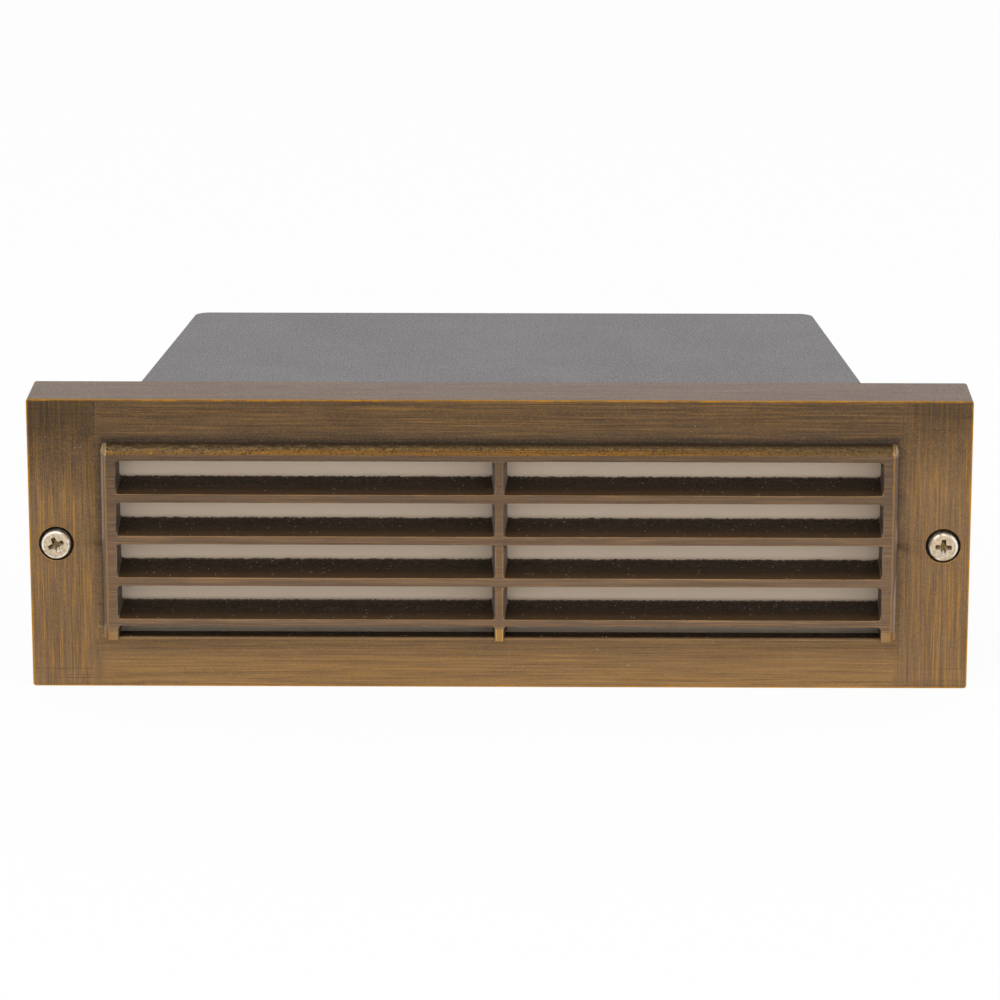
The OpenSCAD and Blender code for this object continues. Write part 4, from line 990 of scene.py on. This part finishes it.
def wiring_pieces():
    sheaths = {"black": (tone(32, 32, 33), tone(46, 46, 47)),
               "white": (tone(232, 232, 228), tone(218, 218, 212)),
               "green": (tone(42, 130, 72), tone(30, 106, 58))}
    for name, (light, dark) in sheaths.items():
        sheath = moulded_finish(name + "_insulation", light, dark, 0.45)
        soft_edged("lead_" + name, sheath, "housing", "lead_" + name, smooth_deg=60)
    orange = moulded_finish("orange_connector_shell", tone(222, 132, 40), tone(204, 112, 30), 0.4)
    green = moulded_finish("green_connector_shell", tone(44, 132, 76), tone(32, 108, 60), 0.4)
    connector_piece("connector_black", orange)
    connector_piece("connector_white", orange)
    connector_piece("connector_green", green)


def closure_pieces():
    cast_zinc = moulded_finish("cast_zinc_grey", tone(140, 140, 142), tone(118, 118, 120), 0.55)
    soft_edged("closure_plug", cast_zinc, "housing", "cast_zinc", edge=0.5)
    fibre = moulded_finish("red_fibre", tone(140, 66, 44), tone(112, 50, 34), 0.7, bumps=0.05)
    soft_edged("closure_washer", fibre, "housing", "fibre", edge=0.15)


# ---------------------------------------------------------------- room

def camera():
    data = bpy.data.cameras.new("camera")
    data.lens, data.sensor_width = 165.6, 36.0
    data.clip_end = 20.0
    cam = bpy.data.objects.new("camera", data)
    cam.location = (0.011697, -1.125847, 0.308188)
    cam.rotation_euler = (math.radians(75), 0.0, math.radians(0.597))
    bpy.context.scene.collection.objects.link(cam)
    bpy.context.scene.camera = cam


def plain_shader(tree, kind, colour, strength=None):
    n = tree.nodes.new(kind)
    n.inputs["Color"].default_value = colour
    if strength is not None:
        n.inputs["Strength"].default_value = strength
    return n.outputs[0]


def join_by_ray(tree, lit, shown, share, output):
    """The camera, the reflections and the glass get this share of shown. The rest gets lit."""
    def maths(operation, a, b):
        n = tree.nodes.new("ShaderNodeMath")
        n.operation, n.use_clamp = operation, True
        tree.links.new(a, n.inputs[0])
        if isinstance(b, float):
            n.inputs[1].default_value = b
        else:
            tree.links.new(b, n.inputs[1])
        return n.outputs[0]

    ray = tree.nodes.new("ShaderNodeLightPath").outputs
    seen = maths("ADD", ray["Is Camera Ray"], ray["Is Glossy Ray"])
    seen = maths("ADD", seen, ray["Is Transmission Ray"])
    mix, out = tree.nodes.new("ShaderNodeMixShader"), tree.nodes.new(output)
    tree.links.new(maths("MULTIPLY", seen, share), mix.inputs[0])
    tree.links.new(lit, mix.inputs[1])
    tree.links.new(shown, mix.inputs[2])
    tree.links.new(mix.outputs[0], out.inputs[0])


def world():
    """An even room that lights the part plainly and shows white."""
    w = bpy.data.worlds.new("studio")
    bpy.context.scene.world = w
    w.use_nodes = True
    tree = w.node_tree
    tree.nodes.clear()
    lit = plain_shader(tree, "ShaderNodeBackground", WHITE, PLAIN_LIGHT)
    shown = plain_shader(tree, "ShaderNodeBackground", WHITE, 1.0)
    join_by_ray(tree, lit, shown, 1.0, "ShaderNodeOutputWorld")


def floor():
    """A pale floor that shows nearly white and keeps the part's shadow."""
    bm = bmesh.new()
    bmesh.ops.create_grid(bm, x_segments=1, y_segments=1, size=3.0)
    mesh = bpy.data.meshes.new("floor")
    bm.to_mesh(mesh)
    bm.free()
    piece = bpy.data.objects.new("floor", mesh)
    piece.location.z = cad_box[0].z - 0.0002
    bpy.context.scene.collection.objects.link(piece)
    data = bpy.data.materials.new("pale_floor")
    data.use_nodes = True
    tree = data.node_tree
    tree.nodes.clear()
    lit = plain_shader(tree, "ShaderNodeBsdfDiffuse", (0.9, 0.9, 0.9, 1.0))
    shown = plain_shader(tree, "ShaderNodeEmission", WHITE, 1.0)
    join_by_ray(tree, lit, shown, FLOOR_GLOW, "ShaderNodeOutputMaterial")
    mesh.materials.append(data)


def soft_light(name, place, size, watts):
    """A square lamp that faces the part."""
    data = bpy.data.lights.new(name, "AREA")
    data.shape, data.size, data.energy = "SQUARE", size, watts
    lamp = bpy.data.objects.new(name, data)
    lamp.location = place
    lamp.rotation_euler = (-Vector(place)).to_track_quat("-Z", "Y").to_euler()
    bpy.context.scene.collection.objects.link(lamp)


def studio():
    bpy.context.scene.view_settings.view_transform = "Standard"
    camera()
    world()
    floor()
    soft_light("key", (-0.35, -0.7, 0.9), 0.7, 3.5)
    soft_light("fill", (0.8, -0.8, 0.4), 0.6, 2.0)
    soft_light("front", (0.0, -1.7, 0.3), 1.1, 9.0)


studio()
metal_pieces()
seals_and_moulded_pieces()
lamp_pieces()
wiring_pieces()
closure_pieces()
plate_piece(bronze_finish())
housing_piece(housing_finish())
nickelled = screw_finish()
cover_screw_piece("cover_screw_left", "screw_left", -1, -22, nickelled)
cover_screw_piece("cover_screw_right", "screw_right", 1, 2, nickelled)
